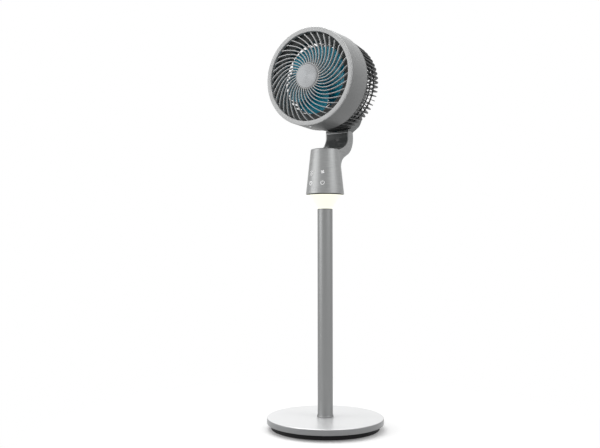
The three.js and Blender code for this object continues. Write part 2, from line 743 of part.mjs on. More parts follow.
function armOutline(inset, depth) {
  const end = armEnd(inset);
  const front = Math.acos((ARM_FACE_Y + depth - PIVOT_Y) / end.r);
  const under = -Math.PI / 2 + ARM_UNDER_SLOPE;
  const [y, z] = [ELBOW_Y + end.bend * Math.cos(under), ELBOW_Z + end.bend * Math.sin(under)];
  const back = [y - 18 * Math.cos(ARM_UNDER_SLOPE), z - 18 * Math.sin(ARM_UNDER_SLOPE)];
  const root = COLUMN_TOP - ARM_ROOT_DROP + inset;
  return [
    ...armFront(depth),
    ...arc(PIVOT_Y, PIVOT_Z, end.r, front, end.rear, 6),
    ...arc(ELBOW_Y, ELBOW_Z, end.bend, end.bendEnd, under, 8).slice(1),
    ...cubic(back, [back[0] - 8, back[1] - 4], [26 - inset, root + 16], [24 - inset, root], 4),
    [0, root], [0, COLUMN_TOP - 6],
  ];
}

function columnBosses() {
  const length = 60; // far enough up to run into the tapering wall
  return bossAngles.map((angle) => {
    const boss = solid(rod(BOSS_R, DECK_TOP + GAP, DECK_TOP + GAP + length, SMALL));
    const hole = solid(rod(SCREW_R + GAP, DECK_TOP, DECK_TOP + 20, SMALL));
    return boss.subtract(hole).translate(aroundColumn(angle, BOSS_CIRCLE));
  });
}

function controlHousing() {
  const column = columnSolid();
  const arm = solid(plateX(armOutline(0, 0), ARM_HALF));
  // near the column the arm's floor stays whole; beyond it the channel is open to the front
  const ramp = solid(box(-ARM_HALF, ARM_HALF, 0, ELBOW_Y + 1, COLUMN_TOP - 1, COLUMN_TOP + 20));
  const channel = solid(plateX(armOutline(ARM_WALL, -1), ARM_HALF - ARM_WALL)).subtract(column.add(ramp));
  const behindLid = solid(plateX(armOutline(ARM_WALL, ARM_LID_T + GAP), CHEEK_IN + CHEEK_T));
  const clear = solid(plateX(armOutline(ARM_WALL - 1, -1), CHEEK_IN));
  const cheeks = behindLid.subtract(clear)
    .intersect(solid(box(
      -ARM_HALF, ARM_HALF, ELBOW_Y + 4, PIVOT_Y + END_R, COLUMN_TOP - ARM_ROOT_DROP, ARM_TOP + 5,
    )));
  let body = column.add(arm).subtract(columnHollow()).subtract(channel).add(cheeks);
  columnBosses().forEach((boss) => {
    body = body.add(boss.intersect(column));
  });
  const slotRear = solid(box(
    -CHEEK_IN, CHEEK_IN, PIVOT_Y - 1, PIVOT_Y + 2 * END_R, PIVOT_Z - TILT_SLOT_DROP, ARM_TOP + 5,
  ));
  const slotTop = solid(box(
    -CHEEK_IN, CHEEK_IN, ARM_FACE_Y + ARM_LID_T + GAP, PIVOT_Y, PIVOT_Z + PIVOT_RISE, ARM_TOP + 5,
  ));
  const bushSeat = solid(rodX(TILT_BUSH_R + GAP, -CHEEK_IN - CHEEK_T - 1, CHEEK_IN + CHEEK_T + 1));
  const motorHole = solid(rodX(SHAFT_HOLE, -CHEEK_IN - CHEEK_T - 1, -CHEEK_IN + 1, SMALL));
  const wires = solid(rodY(7, 20, ELBOW_Y + 6, SMALL).translate(0, 0, COLUMN_TOP - 7));
  return piece('control_housing', body
    .subtract(slotRear).subtract(slotTop).subtract(wires)
    .subtract(bushSeat.translate([0, PIVOT_Y, PIVOT_Z]))
    .subtract(motorHole.translate(tiltMotorCentre())), 'silver');
}

function tiltMotorCentre() {
  return [
    0,
    PIVOT_Y + TILT_CENTRES * Math.cos(TILT_MOTOR_ANGLE),
    PIVOT_Z + TILT_CENTRES * Math.sin(TILT_MOTOR_ANGLE),
  ];
}

function armLid() {
  const whole = solid(plateX(armOutline(ARM_WALL + GAP, 0), ARM_HALF - ARM_WALL - GAP));
  const behind = solid(plateX(armOutline(ARM_WALL - 1, ARM_LID_T), ARM_HALF));
  const below = solid(box(-ARM_HALF, ARM_HALF, -10, ELBOW_Y + 1 + GAP, COLUMN_Z, ARM_TOP));
  const opening = ovalBar(GAP, ARM_FACE_Y - 10, PIVOT_Y);
  return piece('arm_lid', whole.subtract(behind).subtract(below).subtract(opening), 'dark');
}

// oval bar along Y, for the plug in the arm's lid and its hole
function ovalBar(grow, y0, y1) {
  const shape = new THREE.Shape();
  const r = PLUG_T / 2 + grow;
  const x = PLUG_W / 2 - PLUG_T / 2;
  shape.absarc(x, 0, r, -Math.PI / 2, Math.PI / 2);
  shape.absarc(-x, 0, r, Math.PI / 2, Math.PI * 1.5);
  const bar = new THREE.ExtrudeGeometry(shape, { depth: y1 - y0, bevelEnabled: false, curveSegments: 5 });
  return solid(bar.rotateX(Math.PI / 2).translate(0, y1, COLUMN_TOP + PLUG_RISE));
}

function armPlug() {
  return piece('arm_plug', ovalBar(0, ARM_FACE_Y - 0.2, ARM_FACE_Y + ARM_LID_T), 'black');
}

// ---------------------------------------------------------------- tilt drive

function tiltAxle() {
  const reach = CHEEK_IN + CHEEK_T + 4;
  return piece('tilt_axle', rodX(AXLE_R, -reach, reach), 'steel', [0, PIVOT_Y, PIVOT_Z]);
}

function tiltBush(name, side) {
  const profile = [
    [AXLE_R + GAP, CHEEK_IN - GAP - BUSH_COLLAR], [TILT_BUSH_R + 1.6, CHEEK_IN - GAP - BUSH_COLLAR],
    [TILT_BUSH_R + 1.6, CHEEK_IN - GAP], [TILT_BUSH_R, CHEEK_IN - GAP],
    [TILT_BUSH_R, CHEEK_IN + CHEEK_T], [AXLE_R + GAP, CHEEK_IN + CHEEK_T],
  ];
  const bush = turned(profile, COARSE).rotateY(side * Math.PI / 2);
  return piece(name, bush, 'brass', [0, PIVOT_Y, PIVOT_Z]);
}

function tiltMotor() {
  const near = CHEEK_IN + CHEEK_T + GAP;
  const can = turned([
    [0, -near - TILT_MOTOR_L], [TILT_MOTOR_R - 1, -near - TILT_MOTOR_L],
    [TILT_MOTOR_R, -near - TILT_MOTOR_L + 1], [TILT_MOTOR_R, -near], [0, -near],
  ], COARSE).rotateY(Math.PI / 2);
  return piece('tilt_motor', can, 'steel', tiltMotorCentre());
}

const TILT_GEAR_X = -TONGUE_HALF;

// in the Y-Z plane, so the outline is laid down along X
function tiltWheel(teeth, phase, width) {
  return gear(TILT_MODULE, teeth, phase, width).applyMatrix4(new THREE.Matrix4().set(
    0, 0, 1, 0,
    1, 0, 0, 0,
    0, 1, 0, 0,
    0, 0, 0, 1,
  ));
}

function tiltPinion() {
  const phase = TILT_MOTOR_ANGLE + Math.PI + Math.PI / TILT_PINION_TEETH;
  const wheel = solid(tiltWheel(TILT_PINION_TEETH, phase, TILT_GEAR_W - 1))
    .translate([TILT_GEAR_X + 0.5, 0, 0]);
  const shaft = solid(rodX(PINION_SHAFT_R, -CHEEK_IN - CHEEK_T, TILT_GEAR_X + TILT_GEAR_W - 1, SMALL));
  return piece('tilt_pinion', wheel.add(shaft), 'brass', tiltMotorCentre());
}

// ---------------------------------------------------------------- spine of the head

// rear grille outline as [radius, y], grown outwards by clear
function grilleOutline(clear, steps) {
  const slope = Math.atan2(FIN_FRONT_R - FIN_SHOULDER_R, FIN_SHOULDER_Y - SHROUD_REAR);
  const normal = Math.PI / 2 - slope;
  const [cy, cr] = [
    FIN_SHOULDER_Y - FIN_BEND * Math.cos(normal),
    FIN_SHOULDER_R - FIN_BEND * Math.sin(normal),
  ];
  const bend = arc(cy, cr, FIN_BEND + clear, normal, normal - FIN_BEND_TURN, steps)
    .map(([y, r]) => [r, y]);
  const [shoulderR, shoulderY] = bend[bend.length - 1];
  const dome = [0.5, 1].map((t) => {
    const reach = FIN_REAR_Y + clear - shoulderY;
    return [shoulderR + (HUB_RING_R - shoulderR) * t, shoulderY + reach * (1.35 * t - 0.35 * t * t)];
  });
  return { bend, dome };
}

function grilleEnvelope(clear) {
  const { bend, dome } = grilleOutline(clear, 4);
  const flange = HUB_RING_R + 2;
  const back = SPINE_BACKPLATE_Y + clear - SPINE_CLEAR;
  return latheY([
    [0, -40], [FIN_FRONT_R + 3 + clear, -40], [FIN_FRONT_R + clear, SHROUD_REAR], ...bend, dome[0],
    [flange + clear, FIN_REAR_Y + clear], [flange + clear - SPINE_CLEAR, back], [0, back],
  ], FINE).translate([0, 0, HEAD_Z]);
}

// side outline of the spine as [y, z], its walls moved inwards by inset
function spineOutline(inset) {
  const r = END_R + RUN + inset;
  const [slopeY, slopeZ] = [Math.sin(SPINE_SLOPE), -Math.cos(SPINE_SLOPE)];
  const footZ = ARM_TOP - SPINE_FOOT_DROP;
  const bend = SPINE_BEND - inset;
  const centreY = POD_BACK - SPINE_BEND;
  const touchY = centreY + SPINE_BEND * slopeY;
  const touchZ = footZ + (touchY - SPINE_FOOT_Y) * Math.tan(SPINE_SLOPE);
  const centreZ = touchZ - SPINE_BEND * slopeZ;
  const start = [SPINE_FOOT_Y - inset * slopeY, footZ - inset * slopeZ];
  const under = Math.atan2(start[1] - PIVOT_Z, start[0] - PIVOT_Y);
  const front = Math.acos((ARM_FACE_Y + inset - PIVOT_Y) / r);
  return [
    [ARM_FACE_Y + inset, HEAD_Z],
    ...arc(PIVOT_Y, PIVOT_Z, r, front, under, 6),
    start,
    ...arc(centreY, centreZ, bend, -Math.PI / 2 + SPINE_SLOPE, 0, 6),
    [POD_BACK - inset, HEAD_Z],
  ];
}

function domeProfile(inset) {
  const r = DOME_R - inset;
  const round = DOME_ROUND - inset / 2;
  return [
    [0, SPINE_BACKPLATE_Y - 10], [r, SPINE_BACKPLATE_Y - 10],
    ...arc(r - round, POD_BACK - inset - round, round, 0, Math.PI / 2, 2), [0, POD_BACK - inset],
  ];
}

function spineSolid(inset, half) {
  const dome = latheY(domeProfile(inset), COLUMN_FACETS).translate([0, 0, HEAD_Z]);
  return solid(plateX(spineOutline(inset), half)).add(dome);
}

const podAngles = [0, 1, 2].map((i) => Math.PI / 2 + TAU * i / 3);
const aroundHead = (angle, r) => [r * Math.cos(angle), 0, HEAD_Z + r * Math.sin(angle)];

function podBosses() {
  return podAngles.map((angle) => {
    const low = SPINE_BACKPLATE_Y + SPINE_LID_T + GAP;
    const boss = solid(rodY(BOSS_R, low, POD_BACK - 1, SMALL));
    const hole = solid(rodY(SCREW_R + GAP, low - 1, POD_BACK - 6, SMALL));
    return boss.subtract(hole).translate(aroundHead(angle, POD_SCREW_CIRCLE));
  });
}

function spineShell() {
  const outside = spineSolid(0, ARM_HALF);
  const inside = spineSolid(SPINE_WALL, ARM_HALF - SPINE_WALL);
  const passage = solid(box(
    -TONGUE_HALF - GAP, TONGUE_HALF + GAP, PIVOT_Y - TONGUE_FRONT - 1, SPINE_FOOT_Y - 0.6,
    ARM_TOP - 12, ARM_TOP + 8,
  ));
  let shell = outside.subtract(grilleEnvelope(SPINE_CLEAR)).subtract(inside).subtract(passage);
  podBosses().forEach((boss) => {
    shell = shell.add(boss);
  });
  return piece('spine_shell', shell, 'satin');
}

function spineLid() {
  const inside = spineSolid(SPINE_WALL + GAP, ARM_HALF - SPINE_WALL - GAP);
  const passage = solid(box(
    -TONGUE_HALF - GAP, TONGUE_HALF + GAP, PIVOT_Y - TONGUE_FRONT - 1, PIVOT_Y + TONGUE_BACK + 2,
    ARM_TOP - 12, ARM_TOP + 8,
  ));
  let lid = inside.intersect(grilleEnvelope(SPINE_CLEAR + SPINE_LID_T))
    .subtract(grilleEnvelope(SPINE_CLEAR)).subtract(passage);
  podAngles.forEach((angle) => {
    const hole = solid(rodY(SCREW_R + GAP, SPINE_BACKPLATE_Y - 3, SPINE_BACKPLATE_Y + 6, SMALL));
    lid = lid.subtract(hole.translate(aroundHead(angle, POD_SCREW_CIRCLE)));
  });
  return piece('spine_lid', lid, 'dark');
}

function tiltBracket() {
  const wall = SPINE_WALL + GAP;
  const slab = solid(plateX(spineOutline(wall), TONGUE_HALF))
    .subtract(solid(plateX(spineOutline(wall + BRACKET_T), TONGUE_HALF + 1)))
    .intersect(solid(box(-20, 20, PIVOT_Y + 6, POD_BACK, PIVOT_Z, ARM_TOP + BRACKET_TOP)));
  const tongue = solid(plateX([
    [PIVOT_Y - TONGUE_FRONT, PIVOT_Z], [PIVOT_Y - TONGUE_FRONT, ARM_TOP + 10],
    [PIVOT_Y + TONGUE_BACK + 1, ARM_TOP + 16], [PIVOT_Y + TONGUE_BACK, PIVOT_Z + BARREL_R],
    [PIVOT_Y + BARREL_R, PIVOT_Z],
  ], TONGUE_HALF));
  const barrel = solid(rodX(BARREL_R, -TONGUE_HALF, TONGUE_HALF)).translate([0, PIVOT_Y, PIVOT_Z]);
  const aboveGear = solid(rodX(TILT_CENTRES * 0.66, TILT_GEAR_X - 1, TILT_GEAR_X + TILT_GEAR_W + 0.6));
  const wheel = solid(tiltWheel(TILT_GEAR_TEETH, TILT_MOTOR_ANGLE, TILT_GEAR_W))
    .translate([TILT_GEAR_X, PIVOT_Y, PIVOT_Z]);
  const bore = solid(rodX(AXLE_R + GAP, -20, 20)).translate([0, PIVOT_Y, PIVOT_Z]);
  const lidZone = grilleEnvelope(SPINE_CLEAR + SPINE_LID_T + GAP);
  return piece('tilt_bracket', tongue.subtract(aboveGear.translate([0, PIVOT_Y, PIVOT_Z]))
    .add(slab).add(barrel).subtract(lidZone)
    .add(wheel).subtract(bore), 'nylon');
}

// ---------------------------------------------------------------- motor

function motorHousing() {
  const flangeEnd = POD_FLANGE_Y + POD_FLANGE;
  let cup = latheY([
    [BEARING_R + 3, 0], [POD_R - 3, 0], [POD_R, 3], [POD_R, POD_FLANGE_Y],
    [HUB_RING_R, POD_FLANGE_Y], [HUB_RING_R, flangeEnd], [POD_R - POD_WALL, flangeEnd],
    [POD_R - POD_WALL, 3.4], [POD_R - 3.4, POD_WALL], [BEARING_R + 3, POD_WALL],
  ]);
  podAngles.forEach((angle) => {
    const hole = solid(rodY(SCREW_R + GAP, POD_FLANGE_Y - 1, flangeEnd + 1, SMALL));
    cup = cup.subtract(hole.translate([
      POD_SCREW_CIRCLE * Math.cos(angle), 0, POD_SCREW_CIRCLE * Math.sin(angle),
    ]));
  });
  return piece('motor_housing', cup, 'dark');
}

const CAN_Y = POD_WALL + GAP;
const CAN_END = CAN_Y + CAN_LENGTH;

function motorCan() {
  const seat = BEARING_R + GAP;
  return piece('motor_can', turnedY([
    [seat, CAN_Y], [CAN_R, CAN_Y], [CAN_R, CAN_END - CAN_WALL - GAP],
    [CAN_R - CAN_WALL, CAN_END - CAN_WALL - GAP], [CAN_R - CAN_WALL, CAN_Y + CAN_WALL],
    [seat + 2, CAN_Y + CAN_WALL], [seat + 2, CAN_Y + BEARING_W], [seat, CAN_Y + BEARING_W],
  ], COARSE), 'steel');
}

function motorEndCap() {
  const seat = BEARING_R + GAP;
  return piece('motor_end_cap', turnedY([
    [seat, CAN_END - BEARING_W], [seat + 2, CAN_END - BEARING_W], [seat + 2, CAN_END - CAN_WALL],
    [CAN_R, CAN_END - CAN_WALL], [CAN_R, CAN_END], [seat, CAN_END],
  ], COARSE), 'steel');
}

function bearing(name, low) {
  return piece(name, turnedY(band(SHAFT_R + GAP, BEARING_R, low, low + BEARING_W), COARSE), 'steel');
}

function stator() {
  const low = CAN_Y + BEARING_W + 2;
  const high = CAN_END - BEARING_W - 2;
  const ring = band(STATOR_IN_R, CAN_R - CAN_WALL - GAP, low, high);
  return piece('motor_stator', turnedY(ring, COARSE), 'brass');
}

function rotorShaft() {
  const low = (CAN_Y + CAN_END - ROTOR_LENGTH) / 2;
  return piece('motor_shaft', turnedY([
    [0, BLADE_FRONT - 5], [SHAFT_R, BLADE_FRONT - 5], [SHAFT_R, low], [ROTOR_R, low],
    [ROTOR_R, low + ROTOR_LENGTH], [SHAFT_R, low + ROTOR_LENGTH], [SHAFT_R, CAN_END + 3], [0, CAN_END + 3],
  ], COARSE), 'steel');
}

function driverBoard() {
  const back = SPINE_BACKPLATE_Y - GAP;
  const disc = latheY(band(6, POD_R - POD_WALL - 2, back - BOARD_T, back), COARSE);
  const parts = [[-14, 8], [10, 12], [0, -16]].map(([x, z]) => (
    solid(box(x - 5, x + 5, back - BOARD_T - 6, back - BOARD_T + 0.5, z - 4, z + 4))));
  return piece('driver_board', parts.reduce((sum, part) => sum.add(part), disc), 'board');
}

// ---------------------------------------------------------------- rear grille

function finOutline() {
  const { bend, dome } = grilleOutline(0, 2);
  const inner = grilleOutline(-FIN_DEPTH, 1);
  return [
    [SHROUD_REAR + 2, FIN_FRONT_R],
    ...bend.map(([r, y]) => [y, r]),
    ...dome.slice(0, 1).map(([r, y]) => [y, r]),
    [FIN_REAR_Y, HUB_RING_R - 1], [FIN_REAR_Y - HUB_RING_T + 1, HUB_RING_R - 1],
    ...inner.bend.reverse().map(([r, y]) => [y, r]),
    [SHROUD_REAR + 2, FIN_FRONT_R - FIN_DEPTH],
  ];
}

// inside edge of the straight part of a fin at y, where the hoops sit
function finInside(y) {
  const share = (y - SHROUD_REAR) / (FIN_SHOULDER_Y - SHROUD_REAR);
  return FIN_FRONT_R + (FIN_SHOULDER_R - FIN_FRONT_R) * share - FIN_DEPTH;
}

// its corners lie inside the fins, so it runs straight from fin to fin
function hoop(y) {
  const outer = finInside(y) + 0.8;
  const profile = band(outer - HOOP_T, outer, y - HOOP_W / 2, y + HOOP_W / 2);
  return solid(turnedY(profile, FIN_COUNT).rotateY(Math.PI / FIN_COUNT));
}

function rearGrille() {
  const outline = finOutline();
  const blank = new THREE.ExtrudeGeometry(shapeOf(outline), { depth: FIN_T, bevelEnabled: false })
    .translate(0, 0, -FIN_T / 2)
    .applyMatrix4(new THREE.Matrix4().set(
      0, 1, 0, 0,
      1, 0, 0, 0,
      0, 0, 1, 0,
      0, 0, 0, 1,
    ));
  const fins = [];
  for (let i = 0; i < FIN_COUNT; i += 1) {
    fins.push(solid(blank.clone().rotateY(TAU * (i + 0.5) / FIN_COUNT)));
  }
  const rimIn = FIN_FRONT_R - FIN_DEPTH - 1;
  const rim = latheY(
    band(rimIn, FIN_FRONT_R + 0.6, SHROUD_REAR + GAP, SHROUD_REAR + GAP + HOOP_W), FIN_COUNT,
  );
  const bore = (POD_R + GAP) / Math.cos(Math.PI / FIN_COUNT);
  let hub = latheY(band(bore, HUB_RING_R, HUB_RING_Y, HUB_RING_Y + HUB_RING_T), FIN_COUNT);
  podAngles.forEach((angle) => {
    const hole = solid(rodY(SCREW_R + GAP, HUB_RING_Y - 1, HUB_RING_Y + HUB_RING_T + 1, SMALL));
    hub = hub.subtract(hole.translate([
      POD_SCREW_CIRCLE * Math.cos(angle), 0, POD_SCREW_CIRCLE * Math.sin(angle),
    ]));
  });
  const rings = rim.add(hoop(RING_1_Y)).add(hoop(RING_2_Y)).add(hub);
  return piece('rear_grille', fins.reduce((sum, fin) => sum.add(fin), rings), 'satin');
}

// ---------------------------------------------------------------- shroud and front grille

const shroudRadius = (y) => SHROUD_FRONT_R
  + (HEAD_R - SHROUD_FRONT_R) * (y - SHROUD_FRONT) / (SHROUD_REAR - SHROUD_FRONT);

const LOCK_SCREW_Y = SHROUD_FRONT + LOCK_SCREW_SET;

function lockScrewBar(radius) {
  return solid(rod(radius, -SHROUD_FRONT_R - 2, -DUCT_R - 1, SMALL)).translate([0, LOCK_SCREW_Y, 0]);
}

function shroud() {
  const wall = SHROUD_WALL;
  const body = latheY([
    [SHROUD_FRONT_R - wall, SHROUD_FRONT], [SHROUD_FRONT_R, SHROUD_FRONT],
    [HEAD_R, SHROUD_REAR], [HEAD_R - wall, SHROUD_REAR],
  ], RIB_COUNT);
  return piece('shroud', body.subtract(lockScrewBar(SCREW_R + GAP)), 'satin');
}

// funnel from the front ring down to the throat around the blades
function airDuct() {
  const front = SHROUD_FRONT + RING_SKIRT + GAP;
  const flange = front + DUCT_FLANGE;
  const throat = front + THROAT_DEPTH;
  const lip = shroudRadius(front) - SHROUD_WALL - GAP;
  return piece('air_duct', turnedY([
    [DUCT_R, front], [lip, front], [lip, flange], [DUCT_R, flange],
    [THROAT_R + DUCT_WALL, throat + DUCT_WALL], [THROAT_R + DUCT_WALL, THROAT_Y],
    [THROAT_R, THROAT_Y], [THROAT_R, throat],
  ], RIB_COUNT), 'dark');
}

// turn of a rib at a share t of its span: slow at both ends, quick in the middle
const ribTurn = (t) => RIB_SWEEP * (t - RIB_SWIRL * Math.sin(TAU * t) / TAU);

function ribPoint(t, side) {
  const from = GRILLE_HUB_R - 1;
  const to = RING_IN_R + 1.5;
  const r = from + (to - from) * t;
  const a = ribTurn(t);
  const step = 1e-3;
  const [r2, a2] = [r + (to - from) * step, ribTurn(t + step)];
  const direction = [r2 * Math.cos(a2) - r * Math.cos(a), r2 * Math.sin(a2) - r * Math.sin(a)];
  const length = Math.hypot(...direction);
  return [
    r * Math.cos(a) - side * direction[1] / length * RIB_W / 2,
    r * Math.sin(a) + side * direction[0] / length * RIB_W / 2,
  ];
}

// forward shift of the front grille at a radius: nothing at the ring, most at the hub
function bulge(r) {
  const share = Math.min(1, Math.max(0, (RING_IN_R - r) / (RING_IN_R - GRILLE_HUB_R)));
  const end = Math.min(1, Math.max(0, (r - RING_IN_R + RIB_END) / RIB_END));
  return FACE_BULGE * share * (2 - share) - RIB_DROP * end * end;
}

function ribBlank() {
  const shares = Array.from({ length: RIB_STEPS }, (_, i) => 0.92 * i / (RIB_STEPS - 1)).concat(1);
  const outline = [
    ...shares.map((t) => ribPoint(t, 1)),
    ...[...shares].reverse().map((t) => ribPoint(t, -1)),
  ];
  const rib = new THREE.ExtrudeGeometry(shapeOf(outline), { depth: RIB_DEPTH, bevelEnabled: false });
  rib.rotateX(Math.PI / 2).translate(0, RING_FRONT + 0.6 + RIB_DEPTH, 0);
  const p = rib.attributes.position;
  for (let i = 0; i < p.count; i += 1) {
    p.setY(i, p.getY(i) - bulge(Math.hypot(p.getX(i), p.getZ(i))));
  }
  return rib;
}

function frontGrille() {
  const front = RING_FRONT;
  const outer = SHROUD_FRONT_R - 0.1;
  const skirt = SHROUD_FRONT_R - SHROUD_WALL - GAP;
  const seat = SHROUD_FRONT - GAP;
  const ring = latheY([
    [RING_IN_R, front], [outer - 0.8, front], [outer, front + 0.8],
    [outer, seat], [skirt, seat], [skirt, SHROUD_FRONT + RING_SKIRT],
    [skirt - 2, SHROUD_FRONT + RING_SKIRT], [RING_IN_R, front + 0.6 + RIB_DEPTH + RIB_DROP],
  ], RIB_COUNT);
  const face = front + 0.6 - FACE_BULGE;
  const hub = latheY([
    [0, face + 2.4], [BADGE_R + GAP, face + 2.4], [BADGE_R + GAP, face - 0.4], [GRILLE_HUB_R, face],
    [GRILLE_HUB_R, face + RIB_DEPTH], [0, face + RIB_DEPTH],
  ], RIB_COUNT);
  const blank = ribBlank();
  let body = ring.add(hub);
  for (let i = 0; i < RIB_COUNT; i += 1) {
    body = body.add(solid(blank.clone().rotateY(-RIB_PHASE - TAU * i / RIB_COUNT)));
  }
  const recess = latheY([
    [0, face + 2.4], [0, face - 6], [BADGE_R + GAP, face - 6], [BADGE_R + GAP, face + 2.4],
  ], RIB_COUNT);
  return piece('front_grille', body.subtract(recess).subtract(lockScrewBar(SCREW_R + GAP)), 'ring');
}

function hubBadge() {
  const seat = RING_FRONT + 0.6 - FACE_BULGE + 2.4 - GAP;
  const face = seat - 2.4;
  return piece('hub_cap', turnedY([
    [0, seat], [BADGE_R, seat], [BADGE_R, face], [BADGE_R * 0.6, face - BADGE_CROWN * 0.8],
    [0, face - BADGE_CROWN],
  ], RIB_COUNT), 'steel');
}

function lockScrew() {
  const profile = [[0, 0], [SCREW_HEAD_R, 0], [SCREW_HEAD_R, 1.8], [SCREW_R, 1.8], [SCREW_R, 9], [0, 9]];
  const at = shroudRadius(LOCK_SCREW_Y) + GAP + 1.8;
  return piece('grille_lock_screw', turned(profile, SMALL), 'steel', [0, LOCK_SCREW_Y, -at]);
}

// ---------------------------------------------------------------- impeller

// one swept blade as a closed skin over a grid of span by chord
function bladeGeometry() {
  const [n, m] = [BLADE_STEPS, BLADE_STEPS];
  const points = [];
  const root = ROTOR_HUB_R - 1.4;
  for (let side = -1; side <= 1; side += 2) {
    for (let i = 0; i <= n; i += 1) {
      for (let j = 0; j <= m; j += 1) {
        const u = i / n;
        const v = 2 * j / m - 1;
        const r = root + (BLADE_TIP_R - root) * u - 3.5 * v * v * v * v * u;
        const angle = BLADE_PHASE - BLADE_LEAN * u * u + BLADE_WIDTH / 2 * v * (1 - BLADE_TAPER * u);
        const depth = (BLADE_REAR - BLADE_FRONT) / 2 - 2 - 5 * u;
        const camber = 2.5 * (1 - v * v);
        const middle = (BLADE_REAR + BLADE_FRONT) / 2 - depth * v - camber;
        const y = middle + side * BLADE_T / 2 * (1 - 0.55 * v * v);
        points.push(r * Math.cos(angle), y, r * Math.sin(angle));
      }
    }
  }
  const id = (side, i, j) => side * (n + 1) * (m + 1) + i * (m + 1) + j;
  const index = [];
  const quad = (a, b, c, d) => index.push(a, b, c, a, c, d);
  for (let i = 0; i < n; i += 1) {
    for (let j = 0; j < m; j += 1) {
      quad(id(0, i, j), id(0, i, j + 1), id(0, i + 1, j + 1), id(0, i + 1, j));
      quad(id(1, i, j), id(1, i + 1, j), id(1, i + 1, j + 1), id(1, i, j + 1));
    }
    quad(id(0, i, 0), id(0, i + 1, 0), id(1, i + 1, 0), id(1, i, 0));
    quad(id(0, i, m), id(1, i, m), id(1, i + 1, m), id(0, i + 1, m));
  }
  for (let j = 0; j < m; j += 1) {
    quad(id(0, 0, j), id(1, 0, j), id(1, 0, j + 1), id(0, 0, j + 1));
    quad(id(0, n, j), id(0, n, j + 1), id(1, n, j + 1), id(1, n, j));
  }
  const geometry = new THREE.BufferGeometry();
  geometry.setAttribute('position', new THREE.Float32BufferAttribute(points, 3));
  geometry.setIndex(index);
  return geometry;
}

function impeller() {
  const [front, rear] = [BLADE_FRONT, BLADE_REAR + 2];
  const hub = latheY([
    [SHAFT_R + GAP, front], [ROTOR_HUB_R - 5, front],
    [ROTOR_HUB_R, front + 5], [ROTOR_HUB_R, rear], [ROTOR_HUB_R - ROTOR_HUB_WALL, rear],
    [ROTOR_HUB_R - ROTOR_HUB_WALL, front + ROTOR_HUB_WALL + 4], [ROTOR_HUB_R - 6, front + ROTOR_HUB_WALL],
    [ROTOR_BOSS_R, front + ROTOR_HUB_WALL], [ROTOR_BOSS_R, rear - 8], [SHAFT_R + GAP, rear - 8],
  ], MEDIUM);
  const blank = bladeGeometry();
  let body = hub;
  const hollow = latheY([
    [0, front + ROTOR_HUB_WALL + 1], [ROTOR_HUB_R - ROTOR_HUB_WALL + 0.4, front + ROTOR_HUB_WALL + 1],
    [ROTOR_HUB_R - ROTOR_HUB_WALL + 0.4, rear + 5], [0, rear + 5],
  ], MEDIUM);
  for (let i = 0; i < BLADE_COUNT; i += 1) {
    body = body.add(solid(blank.clone().rotateY(TAU * i / BLADE_COUNT)).subtract(hollow));
  }
  return piece('impeller', body, 'teal');
}

function impellerNut() {
  const rear = BLADE_FRONT - GAP;
  return piece('impeller_nut', turnedY([
    [0, rear - NUT_H], [NUT_R - 3, rear - NUT_H], [NUT_R, rear - NUT_H + 3], [NUT_R, rear],
    [SHAFT_R + GAP, rear], [SHAFT_R + GAP, BLADE_FRONT - 5 - GAP], [0, BLADE_FRONT - 5 - GAP],
  ], COARSE), 'teal');
}

// ---------------------------------------------------------------- assembly

function stand() {
  const group = new THREE.Group();
  group.add(
    baseUnderplate(), baseWeight(), baseCover(), powerInlet(), poleBolt(), ...footPads(),
    poleFootPlug(), poleCollar(), poleTube(), poleTopCap(), neckTube(),
    lightShade(), ledRing(), lightCarrier(), swivelGear(), neckClip(),
  );
  return group;
}

function column() {
  const group = new THREE.Group();
  const screws = bossAngles.map((angle, i) => {
    const fastener = screw(`column_screw_${i + 1}`);
    const [x, y] = aroundColumn(angle, BOSS_CIRCLE);
    fastener.position.set(x, y, FLOOR_Z + 3);
    return fastener;
  });
  group.add(
    controlHousing(), columnFloor(), deck(), swivelMotor(), swivelPinion(), touchBoard(), ...screws,
    swivelBush('swivel_bush_lower', LIGHT_TOP + GAP, SWIVEL_GEAR_Z - GAP),
    swivelBush('swivel_bush_upper', DECK_BUSH_Z, DECK_TOP + GAP + 2), armLid(), armPlug(),
    tiltAxle(), tiltBush('tilt_bush_left', -1), tiltBush('tilt_bush_right', 1), tiltMotor(), tiltPinion(),
  );
  return group;
}

function head() {
  const group = new THREE.Group();
  const axis = new THREE.Group();
  axis.position.z = HEAD_Z;
  const screws = podAngles.map((angle, i) => {
    const fastener = screw(`pod_screw_${i + 1}`, 'steel', POD_SCREW_LENGTH);
    fastener.rotation.x = -Math.PI / 2;
    const [x, , z] = aroundHead(angle, POD_SCREW_CIRCLE);
    fastener.position.set(x, HUB_RING_Y - GAP - SCREW_HEAD_H, z - HEAD_Z);
    return fastener;
  });
  axis.add(
    motorHousing(), motorCan(), motorEndCap(), bearing('motor_bearing_front', CAN_Y),
    bearing('motor_bearing_rear', CAN_END - BEARING_W), stator(), driverBoard(), rotorShaft(),
    rearGrille(), shroud(), airDuct(), frontGrille(), hubBadge(), lockScrew(),
    impeller(), impellerNut(), ...screws,
  );
  group.add(tiltBracket(), spineShell(), spineLid(), axis);
  return group;
}

const circulator = new THREE.Group();
circulator.add(stand(), column(), head());

export default circulator;
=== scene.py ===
"""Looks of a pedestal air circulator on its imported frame: finer visible pieces, materials, light, camera.

Lengths are in millimetres in the constants and profiles, and become metres in the mesh builders.
"""

import json
import math

import bmesh
import bpy
from mathutils import Matrix, Vector


